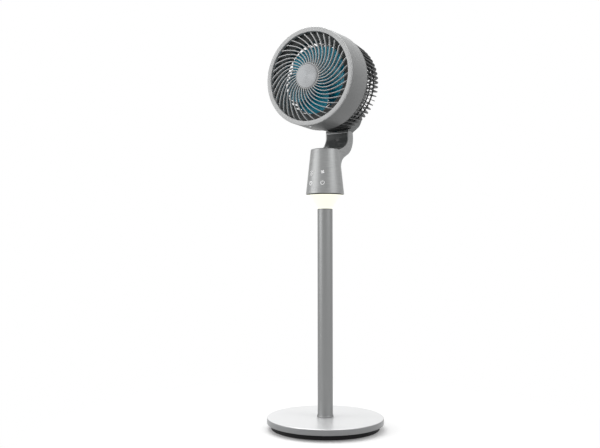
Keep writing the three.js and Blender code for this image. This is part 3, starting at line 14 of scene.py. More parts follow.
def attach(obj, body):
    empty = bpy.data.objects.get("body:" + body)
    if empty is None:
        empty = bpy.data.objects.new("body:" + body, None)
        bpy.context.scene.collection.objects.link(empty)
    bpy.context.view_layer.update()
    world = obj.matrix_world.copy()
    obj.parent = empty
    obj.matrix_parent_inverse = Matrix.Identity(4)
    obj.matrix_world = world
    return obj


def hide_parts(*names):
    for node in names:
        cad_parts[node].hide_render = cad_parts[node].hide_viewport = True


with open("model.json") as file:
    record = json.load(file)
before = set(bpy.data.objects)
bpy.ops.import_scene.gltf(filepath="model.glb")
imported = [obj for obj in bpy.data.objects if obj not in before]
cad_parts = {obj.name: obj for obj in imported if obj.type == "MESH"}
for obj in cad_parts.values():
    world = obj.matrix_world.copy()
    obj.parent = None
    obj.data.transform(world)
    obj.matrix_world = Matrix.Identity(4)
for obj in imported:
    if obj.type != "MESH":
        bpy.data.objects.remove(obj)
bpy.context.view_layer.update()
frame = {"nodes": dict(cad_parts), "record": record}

# ---------------------------------------------------------------- sizes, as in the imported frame

MM = 0.001
TAU = 2 * math.pi
GAP = 0.3

# foot, pole and light
BASE_R = 145
BASE_TOP = 30
COVER_RIM = 14.5
COVER_WALL = 2.5
PAD_R = 11
PAD_H = 2.7
PAD_CIRCLE = 114
PAD_COUNT = 5
# two ring grooves under each pad, as distance in from its edge and depth
PAD_GROOVES = ((1.2, 0), (1.6, 0.5), (3.4, 0.5), (3.8, 0), (5.4, 0), (5.8, 0.5), (7.6, 0.5), (8, 0))
POLE_R = 19
POLE_Z = BASE_TOP + GAP
POLE_TOP = 544
POLE_WALL = 1.5
BOLT_HOLE_R = 4.3
NECK_R = 12
LIGHT_Z = 547
LIGHT_H = 33.6
LIGHT_FOOT_R = 21
LIGHT_RIM_R = 47
LIGHT_WALL = 2.2
LIGHT_SAG = 2.4

# column and arm
COLUMN_Z = 583
COLUMN_TOP = 696
COLUMN_FOOT_R = 48
COLUMN_TOP_R = 36
COLUMN_WALL = 2.6
COLUMN_ROUND = 2.4
COLUMN_TAPER = (COLUMN_FOOT_R - COLUMN_TOP_R) / (COLUMN_TOP - COLUMN_Z)
ARM_HALF = 33
ARM_WALL = 2.5
ELBOW_Y = 38
ELBOW_Z = 734
ELBOW_R = 50.5
ARM_UNDER_SLOPE = 0.46
ARM_FACE_Y = 62.4
ARM_LID_T = 2
PIVOT_Y = 75.5
PIVOT_Z = 716
END_R = 34
ARM_TOP = PIVOT_Z + END_R
CHEEK_IN = 12.4
CHEEK_T = 4
AXLE_SEAT_R = 6.3
PIVOT_RISE = 20
ARM_ROOT_DROP = 41
ARM_KNEE_Y = 44
TILT_SLOT_DROP = 12
PLUG_W = 12
PLUG_T = 8
PLUG_Z = COLUMN_TOP + 33
KEY_SIDE = math.radians(22)
KEY_HIGH = 636
KEY_LOW = 609
MARK_R = 4.6
PRINT_W = 1.25
PRINT_LOW = -0.1  # the print's back sits in the surface, its face stands just proud of it
PRINT_HIGH = 0.12

# head
HEAD_Z = 867
SHROUD_FRONT = -76.7
SHROUD_REAR = -7
SHROUD_FRONT_R = 121
SHROUD_REAR_R = 123
SHROUD_WALL = 2.5
RING_FRONT = -81
RING_IN_R = 109.7
RING_SKIRT = 9
DUCT_R = 111
THROAT_R = 89.5
THROAT_Y = -42
RIB_COUNT = 36
RIB_W = 2.0
RIB_DEPTH = 6
RIB_SWEEP = 0.848
RIB_SWIRL = 0.2
RIB_PHASE = -0.686
FACE_BULGE = 5.8
RIB_SETBACK = 0.6
RIB_DROP = 5  # how far a rib's end curves back into the ring
RIB_SHOULDER_R = 103.5
GRILLE_HUB_R = 32
BADGE_R = 30
BADGE_CROWN = 1.6
BADGE_T = 2.4
FIN_COUNT = 60
FIN_T = 1.8
FIN_DEPTH = 8
FIN_FRONT_R = 122
FIN_SHOULDER_Y = 66
FIN_SHOULDER_R = 115.6
FIN_BEND = 22
FIN_BEND_TURN = 1.22
FIN_REAR_Y = 104.5
HOOP_YS = (36, 59)
HOOP_HALF = 1.5
HOOP_IN = 2.2
HOOP_OUT = 0.8
HUB_RING_R = 50
HUB_RING_Y = 98.2
HUB_RING_T = 6.5
POD_R = 38
POD_WALL = 2.2
POD_FLANGE_Y = 105
POD_BACK = 142
POD_ROUND = 3
BEARING_R = 11

# spine
SPINE_WALL = 2.5
SPINE_CLEAR = 1.7
SPINE_SLOPE = 0.515
SPINE_BEND = 51.2
SPINE_FOOT_Y = 89
SPINE_FOOT_Z = ARM_TOP - 1
SPINE_BACKPLATE_Y = 107.8
DOME_R = 52
DOME_ROUND = 10
PASSAGE_HALF = 11.1

# impeller; the sweep, width and phase of the blades are set here, finer than in the frame
BLADE_COUNT = 5
BLADE_TIP_R = 86
BLADE_FRONT = -60
BLADE_REAR = -18
BLADE_T = 2.4
BLADE_LEAN = 0.45
BLADE_WIDTH = 1.95
BLADE_TAPER = 0.32
BLADE_SET = 8
BLADE_PHASE = 1.02
ROTOR_HUB_R = 30
ROTOR_WALL = 2.6
ROTOR_SLEEVE_R = 9
SHAFT_HOLE_R = 4.3
NUT_R = 12
NUT_H = 8
BLADE_STEPS = 22
BLADE_CUP = 2.5  # how far a blade bellies forward between its edges
BLADE_ROUND = 3.5  # how far the tip's corners are drawn in
BLADE_THIN = 0.75  # share of the thickness lost towards the edges

ROUND = 192  # facets of a full turn on the large round pieces
SHARP = 35  # degrees between two faces from which their edge stays sharp
SHARP_CARVED = 28
SHARP_BLADE = 40

# ---------------------------------------------------------------- mesh helpers


def arc(x, y, r, a, b, steps):
    """Points on an arc from angle a to angle b, both ends included."""
    return [
        (x + r * math.cos(a + (b - a) * i / steps), y + r * math.sin(a + (b - a) * i / steps))
        for i in range(steps + 1)
    ]


def eased(points, radius, steps=3):
    """A closed profile with each sharp corner rounded by up to radius."""
    out = []
    n = len(points)
    for i, p in enumerate(points):
        before, after = Vector(points[i - 1]) - Vector(p), Vector(points[(i + 1) % n]) - Vector(p)
        lb, la = before.length, after.length
        turn = math.pi - before.angle(after) if lb > 1e-6 and la > 1e-6 else 0
        reach = min(radius * math.tan(turn / 2), 0.45 * lb, 0.45 * la) if turn > 0.35 else 0
        if reach < 0.02 or p[0] < 1e-6:
            out.append(tuple(p))
            continue
        a, b = Vector(p) + before / lb * reach, Vector(p) + after / la * reach
        for k in range(steps + 1):
            t = k / steps
            q = a * (1 - t) ** 2 + Vector(p) * 2 * t * (1 - t) + b * t * t
            out.append((q.x, q.y))
    return out


def put(name, bm, body, slot, nodes=(), sharp=SHARP, finish=None):
    """The finished bmesh, in millimetres, as a piece that rides on a body and stands for CAD nodes.

    Its material is the slot's own, or the one named by finish.
    """
    bmesh.ops.remove_doubles(bm, verts=bm.verts, dist=1e-4)
    bmesh.ops.recalc_face_normals(bm, faces=bm.faces)
    mesh = bpy.data.meshes.new(name)
    bm.to_mesh(mesh)
    bm.free()
    mesh.transform(Matrix.Scale(MM, 4))
    mesh.shade_smooth()
    mesh.set_sharp_from_angle(angle=math.radians(sharp))
    obj = bpy.data.objects.new(name, mesh)
    bpy.context.scene.collection.objects.link(obj)
    mesh.materials.append(MAT[finish or slot])
    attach(obj, body)
    if nodes:
        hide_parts(*nodes)
    return obj


def spun(profile, count=ROUND, about="Z", bm=None):
    """A profile of (radius, height) turned about Z, or about the head's axis, heights running to the rear."""
    bm = bm or bmesh.new()
    closed = profile[0][0] > 1e-6 or profile[-1][0] > 1e-6
    rows = []
    for k in range(count):
        c, s = math.cos(TAU * k / count), math.sin(TAU * k / count)
        row = []
        for r, h in profile:
            if r < 1e-6 and rows:
                row.append(rows[0][len(row)])
            else:
                row.append(bm.verts.new((r * c, r * s, h) if about == "Z" else (r * c, h, HEAD_Z + r * s)))
        rows.append(row)
    n = len(profile)
    for k in range(count):
        a, b = rows[k], rows[(k + 1) % count]
        for i in range(n if closed else n - 1):
            j = (i + 1) % n
            loop = [a[i], a[j], b[j], b[i]]
            face = [v for m, v in enumerate(loop) if v not in loop[:m]]
            if len(face) > 2:
                bm.faces.new(face)
    return bm


def plate(points, low, high, place):
    """A flat outline made into a plate; place(u, v, w) gives the point in space."""
    bm = bmesh.new()
    sides = [[bm.verts.new(place(u, v, w)) for u, v in points] for w in (low, high)]
    n = len(points)
    for i in range(n):
        j = (i + 1) % n
        bm.faces.new([sides[0][i], sides[0][j], sides[1][j], sides[1][i]])
    for side in sides:
        bm.faces.new(side)
    return bm


def swept(rows):
    """Cross-sections of equal length joined into a bar with closed ends."""
    bm = bmesh.new()
    rings = [[bm.verts.new(p) for p in row] for row in rows]
    n = len(rows[0])
    for a, b in zip(rings, rings[1:]):
        for i in range(n):
            bm.faces.new([a[i], a[(i + 1) % n], b[(i + 1) % n], b[i]])
    bm.faces.new(rings[0])
    bm.faces.new(rings[-1])
    return bm


def joined(target, other):
    """Adds the bmesh other to target and frees it."""
    mesh = bpy.data.meshes.new("part")
    other.to_mesh(mesh)
    other.free()
    target.from_mesh(mesh)
    bpy.data.meshes.remove(mesh)
    return target


def plate_x(points, half):
    """A side outline of (y, z) made into a solid, half to each side of the middle."""
    return plate(points, -half, half, lambda u, v, w: (w, u, v))


def cubic(p0, p1, p2, p3, steps):
    """Points on a cubic curve with four control points, both ends included."""
    out = []
    for i in range(steps + 1):
        t = i / steps
        w = ((1 - t) ** 3, 3 * t * (1 - t) ** 2, 3 * t * t * (1 - t), t**3)
        out.append(tuple(sum(k * p[c] for k, p in zip(w, (p0, p1, p2, p3))) for c in (0, 1)))
    return out


def circles_meet(x0, y0, r0, x1, y1, r1):
    """Where two circles meet, on the right-hand side of the line from the first to the second."""
    d = math.hypot(x1 - x0, y1 - y0)
    along = (d * d + r0 * r0 - r1 * r1) / (2 * d)
    across = math.sqrt(r0 * r0 - along * along)
    ux, uy = (x1 - x0) / d, (y1 - y0) / d
    return x0 + along * ux + across * uy, y0 + along * uy - across * ux


def block(x0, x1, y0, y1, z0, z1):
    bm = bmesh.new()
    bmesh.ops.create_cube(bm, size=1)
    bmesh.ops.scale(bm, verts=bm.verts, vec=(x1 - x0, y1 - y0, z1 - z0))
    bmesh.ops.translate(bm, verts=bm.verts, vec=((x0 + x1) / 2, (y0 + y1) / 2, (z0 + z1) / 2))
    return bm


def moved(bm, place):
    bmesh.ops.translate(bm, verts=bm.verts, vec=place)
    return bm


def carved(base, *steps):
    """The bmesh base after joins and cuts, each step a pair of operation and bmesh."""
    temps = []

    def temp(bm):
        bmesh.ops.remove_doubles(bm, verts=bm.verts, dist=1e-4)
        bmesh.ops.recalc_face_normals(bm, faces=bm.faces)
        mesh = bpy.data.meshes.new("cutter")
        bm.to_mesh(mesh)
        bm.free()
        obj = bpy.data.objects.new("cutter", mesh)
        bpy.context.scene.collection.objects.link(obj)
        temps.append(obj)
        return obj

    body = temp(base)
    for operation, other in steps:
        tool = body.modifiers.new("step", "BOOLEAN")
        tool.operation = operation
        tool.solver = "EXACT"
        tool.object = temp(other)
    result = bmesh.new()
    result.from_object(body, bpy.context.evaluated_depsgraph_get())
    for obj in temps:
        mesh = obj.data
        bpy.data.objects.remove(obj)
        bpy.data.meshes.remove(mesh)
    return result


CUT, ADD, KEEP = "DIFFERENCE", "UNION", "INTERSECT"

# ---------------------------------------------------------------- materials


def add_node(tree, kind, inputs, **settings):
    """A shader node; each input, by name or number, gets a value or a link, settings are its own fields."""
    made = tree.nodes.new(kind)
    for key, value in settings.items():
        setattr(made, key, value)
    for key, value in inputs.items():
        if hasattr(value, "is_output"):
            tree.links.new(value, made.inputs[key])
        else:
            made.inputs[key].default_value = value
    return made


def first_node(tree, kind):
    return next(n for n in tree.nodes if n.type == kind)


class Paint:
    """A procedural material: one Principled shader with noise in its colour, roughness and bump."""

    def __init__(self, name, colour, rough, metal=0.0, spec=0.5):
        self.mat = bpy.data.materials.new(name)
        self.mat.use_nodes = True
        self.tree = self.mat.node_tree
        self.bsdf = first_node(self.tree, "BSDF_PRINCIPLED")
        self.colour = colour
        self.coords = self.node("ShaderNodeTexCoord").outputs["Object"]
        self.set("Base Color", (*colour, 1))
        self.set("Roughness", rough)
        self.set("Metallic", metal)
        self.set("Specular IOR Level", spec)
        self.rough = rough

    def set(self, name, value):
        self.bsdf.inputs[name].default_value = value

    def node(self, kind, inputs=None, **settings):
        return add_node(self.tree, kind, inputs or {}, **settings)

    def link(self, output, name):
        self.tree.links.new(output, self.bsdf.inputs[name])

    def noise(self, scale, detail=3.0, vector=None, stretch=None):
        source = vector or self.coords
        if stretch:
            source = self.node("ShaderNodeMapping", {"Vector": source, "Scale": stretch}).outputs[0]
        inputs = {"Vector": source, "Scale": scale, "Detail": detail}
        return self.node("ShaderNodeTexNoise", inputs).outputs[0]

    def range(self, value, low, high, start=0, end=1):
        """Value mapped from start..end to low..high."""
        inputs = {"Value": value, "From Min": start, "From Max": end, "To Min": low, "To Max": high}
        return self.node("ShaderNodeMapRange", inputs).outputs[0]

    def mix(self, share, first, second):
        return self.node("ShaderNodeMix", {0: share, 6: first, 7: second}, data_type="RGBA").outputs[2]

    def height(self):
        return self.node("ShaderNodeSeparateXYZ", {"Vector": self.coords}).outputs[2]

    def shades(self, value, amount):
        """The colour, darker and lighter by amount as value goes from 0 to 1."""
        dark, light = ((*(min(1, c * k) for c in self.colour), 1) for k in (1 - amount, 1 + amount))
        return self.mix(value, dark, light)

    def tone(self, value, amount):
        self.link(self.shades(value, amount), "Base Color")

    def uneven(self, value, amount):
        self.link(self.range(value, max(0.02, self.rough - amount), self.rough + amount), "Roughness")

    def bump(self, value, strength, distance):
        node = self.node("ShaderNodeBump", {"Height": value, "Strength": strength, "Distance": distance})
        self.link(node.outputs[0], "Normal")


def metallic_paint(name, colour, rough, metal=0.55, flake=0.05):
    """Metallic lacquer: fine flake in colour and sheen, slow clouding, a trace of orange peel."""
    p = Paint(name, colour, rough, metal)
    p.tone(p.noise(2600, 2.0), flake)
    p.uneven(p.noise(38, 4.0), 0.04)
    p.bump(p.noise(900, 2.0), 0.08, 0.0002)
    return p.mat


def brushed(name, colour, rough, metal, stretch, strength=0.12, contrast=0.06):
    """Brushed metal: fine lines, thinnest along the axis with the largest stretch."""
    p = Paint(name, colour, rough, metal)
    lines = p.noise(1, 3.0, stretch=stretch)
    p.tone(lines, contrast)
    p.uneven(lines, 0.06)
    p.bump(lines, strength, 0.0002)
    return p.mat


def grained(name, colour, rough, grain=700, depth=0.25, spec=0.4):
    """Moulded plastic with a fine spark-eroded grain and slight handling sheen."""
    p = Paint(name, colour, rough, 0.0, spec)
    p.tone(p.noise(45, 4.0), 0.1)
    p.uneven(p.noise(60, 4.0), 0.07)
    p.bump(p.noise(grain, 3.0), depth, 0.0003)
    return p.mat


def circular_brushed():
    """Disc turned on a lathe: fine rings about the head's axis and the fan-shaped sheen that they give."""
    p = Paint("badge_metal", (0.19, 0.195, 0.2), 0.3, 0.95)
    x, _, z = p.node("ShaderNodeSeparateXYZ", {"Vector": p.coords}).outputs
    rise = p.node("ShaderNodeMath", {0: z, 1: HEAD_Z * MM}, operation="SUBTRACT").outputs[0]
    flat = p.node("ShaderNodeCombineXYZ", {"X": x, "Y": rise}).outputs[0]
    radius = p.node("ShaderNodeVectorMath", {0: flat}, operation="LENGTH").outputs["Value"]
    rings = p.noise(4200, 2.0, vector=p.node("ShaderNodeCombineXYZ", {"X": radius}).outputs[0])
    p.tone(rings, 0.08)
    p.uneven(rings, 0.08)
    p.bump(rings, 0.15, 0.0001)
    p.set("Anisotropic", 0.85)
    # the grooves run round the head's axis, so the shader's tangent does too, at every tilt
    less_x = p.node("ShaderNodeMath", {0: x, 1: -1.0}, operation="MULTIPLY").outputs[0]
    around = p.node("ShaderNodeCombineXYZ", {"X": rise, "Z": less_x}).outputs[0]
    turned = p.node(
        "ShaderNodeVectorTransform", {"Vector": around},
        vector_type="VECTOR", convert_from="OBJECT", convert_to="WORLD",
    ).outputs[0]
    p.link(p.node("ShaderNodeVectorMath", {0: turned}, operation="NORMALIZE").outputs[0], "Tangent")
    return p.mat


def glowing_shade():
    """Milky shade lit from inside: warm in the middle, white at both ends."""
    p = Paint("light_shade", (0.3, 0.3, 0.28), 0.35)
    rise = p.range(p.height(), 0, 1, start=LIGHT_Z * MM, end=(LIGHT_Z + LIGHT_H) * MM)
    glow = p.node("ShaderNodeValToRGB", {0: rise})
    stops = glow.color_ramp.elements
    stops[0].color, stops[1].color = (1, 1, 0.84, 1), (1, 1, 0.86, 1)
    for place in (0.12, 0.9):
        stops.new(place).color = (1.0, 0.99, 0.76, 1)
    p.link(glow.outputs[0], "Emission Color")
    p.set("Emission Strength", 1.0)
    p.bump(p.noise(400, 2.0), 0.03, 0.0002)
    return p.mat


def foot_paint_with_rim_shade():
    """Satin lacquer of the foot: pale on the top face, with painted shade that darkens the rim below its
    edge.
    """
    p = Paint("base_paint", (0.76, 0.765, 0.77), 0.3, 0.4)
    # painted shade: the rim's side face gets a much darker colour than the top face, standing in for the
    # light it misses
    top = p.range(p.height(), 0, 1, start=(BASE_TOP - 1.6) * MM, end=(BASE_TOP - 0.4) * MM)
    p.link(p.mix(top, (0.29, 0.295, 0.3, 1), p.shades(p.noise(2600, 2.0), 0.04)), "Base Color")
    p.uneven(p.noise(38, 4.0), 0.04)
    p.bump(p.noise(900, 2.0), 0.06, 0.0002)
    return p.mat


def lit_print(*args):
    """Printed mark that is faintly lit from behind."""
    mat = grained(*args)
    bsdf = first_node(mat.node_tree, "BSDF_PRINCIPLED")
    bsdf.inputs["Emission Color"].default_value = (1, 1, 1, 1)
    bsdf.inputs["Emission Strength"].default_value = 0.35
    return mat


MAT = {
    "base_paint": foot_paint_with_rim_shade(),
    "black_plastic": grained("black_plastic", (0.009, 0.009, 0.01), 0.62, spec=0.2),
    "cast_iron": grained("cast_iron", (0.12, 0.12, 0.12), 0.8, 260, 0.6),
    "steel": brushed("steel", (0.6, 0.61, 0.62), 0.3, 0.95, (900, 900, 60)),
    "rubber": grained("rubber", (0.02, 0.02, 0.021), 0.8, 500, 0.4, 0.3),
    "nylon": grained("nylon", (0.62, 0.62, 0.58), 0.5, 600, 0.15),
    "pole_metal": brushed("pole_metal", (0.25, 0.254, 0.254), 0.4, 0.85, (900, 900, 14)),
    "light_shade": glowing_shade(),
    "board": grained("board", (0.02, 0.16, 0.07), 0.45, 900, 0.1),
    "lamp_metal": brushed("lamp_metal", (0.6, 0.6, 0.6), 0.35, 0.9, (700, 60, 60)),
    "silver_paint": brushed("silver_paint", (0.30, 0.305, 0.305), 0.42, 0.75, (50, 50, 700), 0.2, 0.3),
    "dark_plastic": grained("dark_plastic", (0.045, 0.05, 0.05), 0.5),
    "brass": brushed("brass", (0.62, 0.44, 0.2), 0.32, 0.95, (500, 500, 90)),
    "copper_iron": brushed("copper_iron", (0.35, 0.16, 0.08), 0.45, 0.8, (30, 900, 30)),
    "satin_paint": metallic_paint("satin_paint", (0.275, 0.28, 0.28), 0.45, 0.1),
    "grille_grey": grained("grille_grey", (0.06, 0.062, 0.062), 0.42),
    "ring_paint": metallic_paint("ring_paint", (0.5, 0.505, 0.505), 0.42, 0.15),
    "badge_metal": circular_brushed(),
    "teal_plastic": grained("teal_plastic", (0.0, 0.42, 0.60), 0.35, 300, 0.04, 0.5),
    "arm_inner": grained("arm_inner", (0.075, 0.08, 0.08), 0.45),
    "spine_paint": metallic_paint("spine_paint", (0.15, 0.155, 0.155), 0.42, 0.15),
    "print_white": lit_print("print_white", (0.97, 0.97, 0.97), 0.4, 400, 0.05),
}

# ---------------------------------------------------------------- foot, pole, light


def foot():
    rim = BASE_TOP - COVER_RIM
    cover = eased(
        [
            (BOLT_HOLE_R, BASE_TOP - COVER_WALL), (BOLT_HOLE_R, BASE_TOP),
            *arc(BASE_R - 2.5, BASE_TOP - 2.5, 2.5, math.pi / 2, 0, 6),
            (BASE_R, rim), (BASE_R - COVER_WALL, rim), (BASE_R - COVER_WALL, BASE_TOP - COVER_WALL),
        ],
        0.6,
    )
    put("foot_cover", spun(cover), "stand", "base_paint", ["base_cover"])
    ring = [
        (POLE_R + GAP, POLE_Z), (POLE_R + GAP + 1.4, POLE_Z), (POLE_R + GAP + 0.5, POLE_Z + 4.5),
        (POLE_R + GAP, POLE_Z + 4.5),
    ]
    put("pole_collar", spun(eased(ring, 0.2, 2), 128), "stand", "pole_metal", ["pole_base_ring"])
    inside = POLE_R - POLE_WALL
    tube = [(inside, POLE_Z), (POLE_R, POLE_Z), (POLE_R, POLE_TOP), (inside, POLE_TOP)]
    put("pole_tube", spun(tube, 128), "stand", "pole_metal", ["pole"])


def pads():
    tread = [(PAD_R - r, h) for r, h in reversed(PAD_GROOVES)]
    profile = [(0, 0), *tread, (PAD_R - 0.5, 0), (PAD_R, 0.5), (PAD_R, PAD_H), (0, PAD_H)]
    for i in range(PAD_COUNT):
        a = math.pi / 2 + math.pi / PAD_COUNT + TAU * i / PAD_COUNT
        bm = moved(spun(profile, 48), (PAD_CIRCLE * math.cos(a), PAD_CIRCLE * math.sin(a), 0))
        put(f"rubber_foot_{i + 1}", bm, "stand", "rubber", [f"foot_pad_{i + 1}"])


def shade_radius(t):
    """The light's radius at share t of its height: a cone that sags inwards."""
    return LIGHT_FOOT_R + (LIGHT_RIM_R - LIGHT_FOOT_R) * t - LIGHT_SAG * 4 * t * (1 - t)


def light():
    shares = [i / 24 for i in range(25)]
    outside = [(shade_radius(t), LIGHT_Z + LIGHT_H * t) for t in shares]
    inside = [(shade_radius(t) - LIGHT_WALL, LIGHT_Z + LIGHT_H * t) for t in reversed(shares[2:])]
    low = LIGHT_Z + LIGHT_WALL
    profile = [(NECK_R + GAP, LIGHT_Z), *outside, *inside, (LIGHT_FOOT_R - 0.4, low), (NECK_R + GAP, low)]
    put("light_shade", spun(eased(profile, 0.5), 160), "stand", "light_shade", ["light_diffuser"])


# ---------------------------------------------------------------- column and arm


def arm_front(depth, steps):
    """Front curve of the arm as (y, z), from the column's top to its flat face, moved in by depth."""
    lean = depth * 0.97
    return [
        (10 - depth * 0.26, COLUMN_TOP - 2 - lean),
        *cubic(
            (18.7 + depth * 0.3, COLUMN_TOP + 1.6 - lean),
            (ARM_KNEE_Y + depth * 0.55, COLUMN_TOP + 8.4 - lean),
            (ARM_FACE_Y + depth, COLUMN_TOP + 20 - depth * 0.6),
            (ARM_FACE_Y + depth, ELBOW_Z + 2),
            steps,
        ),
    ]


def arm_outline(inset, depth, steps=20):
    """Side outline of the arm as (y, z): front curve, round end, outer bend, root in the column."""
    r, bend = END_R - inset, ELBOW_R - inset
    y, z = circles_meet(PIVOT_Y, PIVOT_Z, r, ELBOW_Y, ELBOW_Z, bend)
    front = math.acos((ARM_FACE_Y + depth - PIVOT_Y) / r)
    rear = math.atan2(z - PIVOT_Z, y - PIVOT_Y)
    bend_end = math.atan2(z - ELBOW_Z, y - ELBOW_Y)
    under = -math.pi / 2 + ARM_UNDER_SLOPE
    y, z = ELBOW_Y + bend * math.cos(under), ELBOW_Z + bend * math.sin(under)
    back = (y - 18 * math.cos(ARM_UNDER_SLOPE), z - 18 * math.sin(ARM_UNDER_SLOPE))
    root = COLUMN_TOP - ARM_ROOT_DROP + inset
    return [
        *arm_front(depth, steps),
        *arc(PIVOT_Y, PIVOT_Z, r, front, rear, steps),
        *arc(ELBOW_Y, ELBOW_Z, bend, bend_end, under, steps + 8)[1:],
        *cubic(back, (back[0] - 8, back[1] - 4), (26 - inset, root + 16), (24 - inset, root), 12),
        (0, root), (0, COLUMN_TOP - 6),
    ]


def column_outside():
    """The column's outside as a solid cone with a rounded top edge."""
    top = arc(COLUMN_TOP_R - COLUMN_ROUND, COLUMN_TOP - COLUMN_ROUND, COLUMN_ROUND, 0.1, math.pi / 2, 8)
    foot = [(COLUMN_FOOT_R - 0.5, COLUMN_Z), (COLUMN_FOOT_R - 0.05, COLUMN_Z + 0.5)]
    return spun([(0, COLUMN_Z), *foot, *top, (0, COLUMN_TOP)], 160)


def rod_x(radius, low, high, count=48):
    """A round rod along X."""
    outline = arc(0, 0, radius, 0, TAU * (count - 1) / count, count - 1)
    return plate(outline, low, high, lambda u, v, w: (w, u, v))


def oval_bar(grow, y0, y1):
    """A bar along Y with the oval plug's outline, larger by grow."""
    r, x = PLUG_T / 2 + grow, (PLUG_W - PLUG_T) / 2
    outline = arc(x, 0, r, -math.pi / 2, math.pi / 2, 16) + arc(-x, 0, r, math.pi / 2, math.pi * 1.5, 16)
    return plate(outline, y0, y1, lambda u, v, w: (u, w, PLUG_Z + v))


def column():
    """Column and arm in one moulding, the cover in the arm's front and the oval plug in it."""
    low = COLUMN_FOOT_R - COLUMN_WALL
    high = COLUMN_TOP_R - COLUMN_WALL + COLUMN_TAPER * COLUMN_WALL
    hollow = spun([
        (0, COLUMN_Z - 1), (low + COLUMN_TAPER, COLUMN_Z - 1), (high, COLUMN_TOP - COLUMN_WALL),
        (0, COLUMN_TOP - COLUMN_WALL),
    ], 96)
    ramp = block(-ARM_HALF, ARM_HALF, 0, ELBOW_Y + 1, COLUMN_TOP - 1, COLUMN_TOP + 20)
    channel = carved(
        plate_x(arm_outline(ARM_WALL, -1), ARM_HALF - ARM_WALL), (CUT, column_outside()), (CUT, ramp),
    )
    cheeks = carved(
        plate_x(arm_outline(ARM_WALL - 0.2, ARM_LID_T + GAP), CHEEK_IN + CHEEK_T),
        (CUT, plate_x(arm_outline(ARM_WALL - 1, -1), CHEEK_IN)),
        (KEEP, block(-ARM_HALF, ARM_HALF, ELBOW_Y + 4, 120, COLUMN_TOP - ARM_ROOT_DROP, ARM_TOP + 5)),
    )
    slot_rear = block(-CHEEK_IN, CHEEK_IN, PIVOT_Y - 1, 145, PIVOT_Z - TILT_SLOT_DROP, ARM_TOP + 5)
    slot_top = block(
        -CHEEK_IN, CHEEK_IN, ARM_FACE_Y + ARM_LID_T + GAP, PIVOT_Y, PIVOT_Z + PIVOT_RISE, ARM_TOP + 5,
    )
    seat = moved(rod_x(AXLE_SEAT_R, -CHEEK_IN - CHEEK_T - 1, CHEEK_IN + CHEEK_T + 1), (0, PIVOT_Y, PIVOT_Z))
    body = carved(
        column_outside(), (ADD, plate_x(arm_outline(0, 0), ARM_HALF)), (CUT, hollow), (CUT, channel),
        (ADD, cheeks), (CUT, slot_rear), (CUT, slot_top), (CUT, seat),
    )
    put("column_and_arm", body, "column", "silver_paint", ["control_housing"], SHARP_CARVED)
    lid = carved(
        plate_x(arm_outline(ARM_WALL + GAP, 0, 28), ARM_HALF - ARM_WALL - GAP),
        (CUT, plate_x(arm_outline(ARM_WALL - 1, ARM_LID_T, 28), ARM_HALF)),
        (CUT, block(-ARM_HALF, ARM_HALF, -10, ELBOW_Y + 1 + GAP, COLUMN_Z, ARM_TOP)),
        (CUT, oval_bar(GAP, ARM_FACE_Y - 10, PIVOT_Y)),
    )
    put("arm_cover", lid, "column", "dark_plastic", ["arm_lid"], SHARP_CARVED, "arm_inner")
    plug = oval_bar(0, ARM_FACE_Y - 0.2, ARM_FACE_Y + ARM_LID_T)
    put("cover_plug", plug, "column", "black_plastic", ["arm_plug"], finish="grille_grey")


# ---------------------------------------------------------------- touch symbols on the column


def on_column(side, height):
    """Places flat drawings on the cone, side radians from its front and centred at a height."""

    def place(u, v, lift):
        z = height + v
        r = COLUMN_FOOT_R - (z - COLUMN_Z) * COLUMN_TAPER
        a = -math.pi / 2 + side + u / r
        return ((r + lift) * math.cos(a), (r + lift) * math.sin(a), z)

    return place


def printed(edges, place):
    """A thin printed strip; edges holds pairs of flat points, one on each of its long sides."""
    rows = []
    for left, right in edges:
        back = [place(*left, PRINT_LOW), place(*right, PRINT_LOW)]
        rows.append([*back, place(*right, PRINT_HIGH), place(*left, PRINT_HIGH)])
    return swept(rows)


def ribbon(path, place):
    """A line of a symbol."""
    edges = []
    for i, p in enumerate(path):
        along = Vector(path[min(i + 1, len(path) - 1)]) - Vector(path[max(i - 1, 0)])
        side = Vector((-along.y, along.x)).normalized() * PRINT_W / 2
        edges.append((Vector(p) + side, Vector(p) - side))
    return printed(edges, place)


def petal(turn, place):
    """One filled, curled blade of the fan symbol."""
    edges, steps = [], 10
    for i in range(steps + 1):
        t = i / steps
        r, a = 0.5 + 4.6 * t, turn + 0.35 * t
        half = 1.5 * math.sin(math.pi * min(1, 0.12 + 0.86 * t)) ** 0.8
        along, across = Vector((math.cos(a), math.sin(a))), Vector((-math.sin(a), math.cos(a)))
        edges.append((along * r + across * half, along * r - across * half))
    return printed(edges, place)


def symbols():
    """Four plain marks over the touch keys: fan speed and power right, swing and timer left."""
    right, left = on_column(KEY_SIDE, KEY_HIGH), on_column(-KEY_SIDE, KEY_HIGH)
    low_right, low_left = on_column(KEY_SIDE, KEY_LOW), on_column(-KEY_SIDE, KEY_LOW)
    gap = math.radians(28)
    marks = {
        "mark_fan": [petal(math.pi / 4 + math.pi / 2 * i, right) for i in range(4)],
        "mark_power": [
            ribbon(arc(0, 0, MARK_R, math.pi / 2 + gap, math.pi / 2 - gap + TAU, 40), low_right),
            ribbon([(0, 1.6), (0, 3.5), (0, 5.4)], low_right),
        ],
        "mark_swing": [
            ribbon(arc(0, -4, 7.5, math.radians(50), math.radians(130), 20), left),
            ribbon(arc(0, -4, 3.2, 0, TAU, 28), left),
        ],
        "mark_timer": [
            ribbon(arc(0, 0, MARK_R, 0, TAU, 40), low_left),
            ribbon([(0, 3), (0, 0), (1.9, -1.2)], low_left),
        ],
    }
    for name, (first, *others) in marks.items():
        for other in others:
            joined(first, other)
        put(name, first, "column", None, finish="print_white")


# ---------------------------------------------------------------- spine


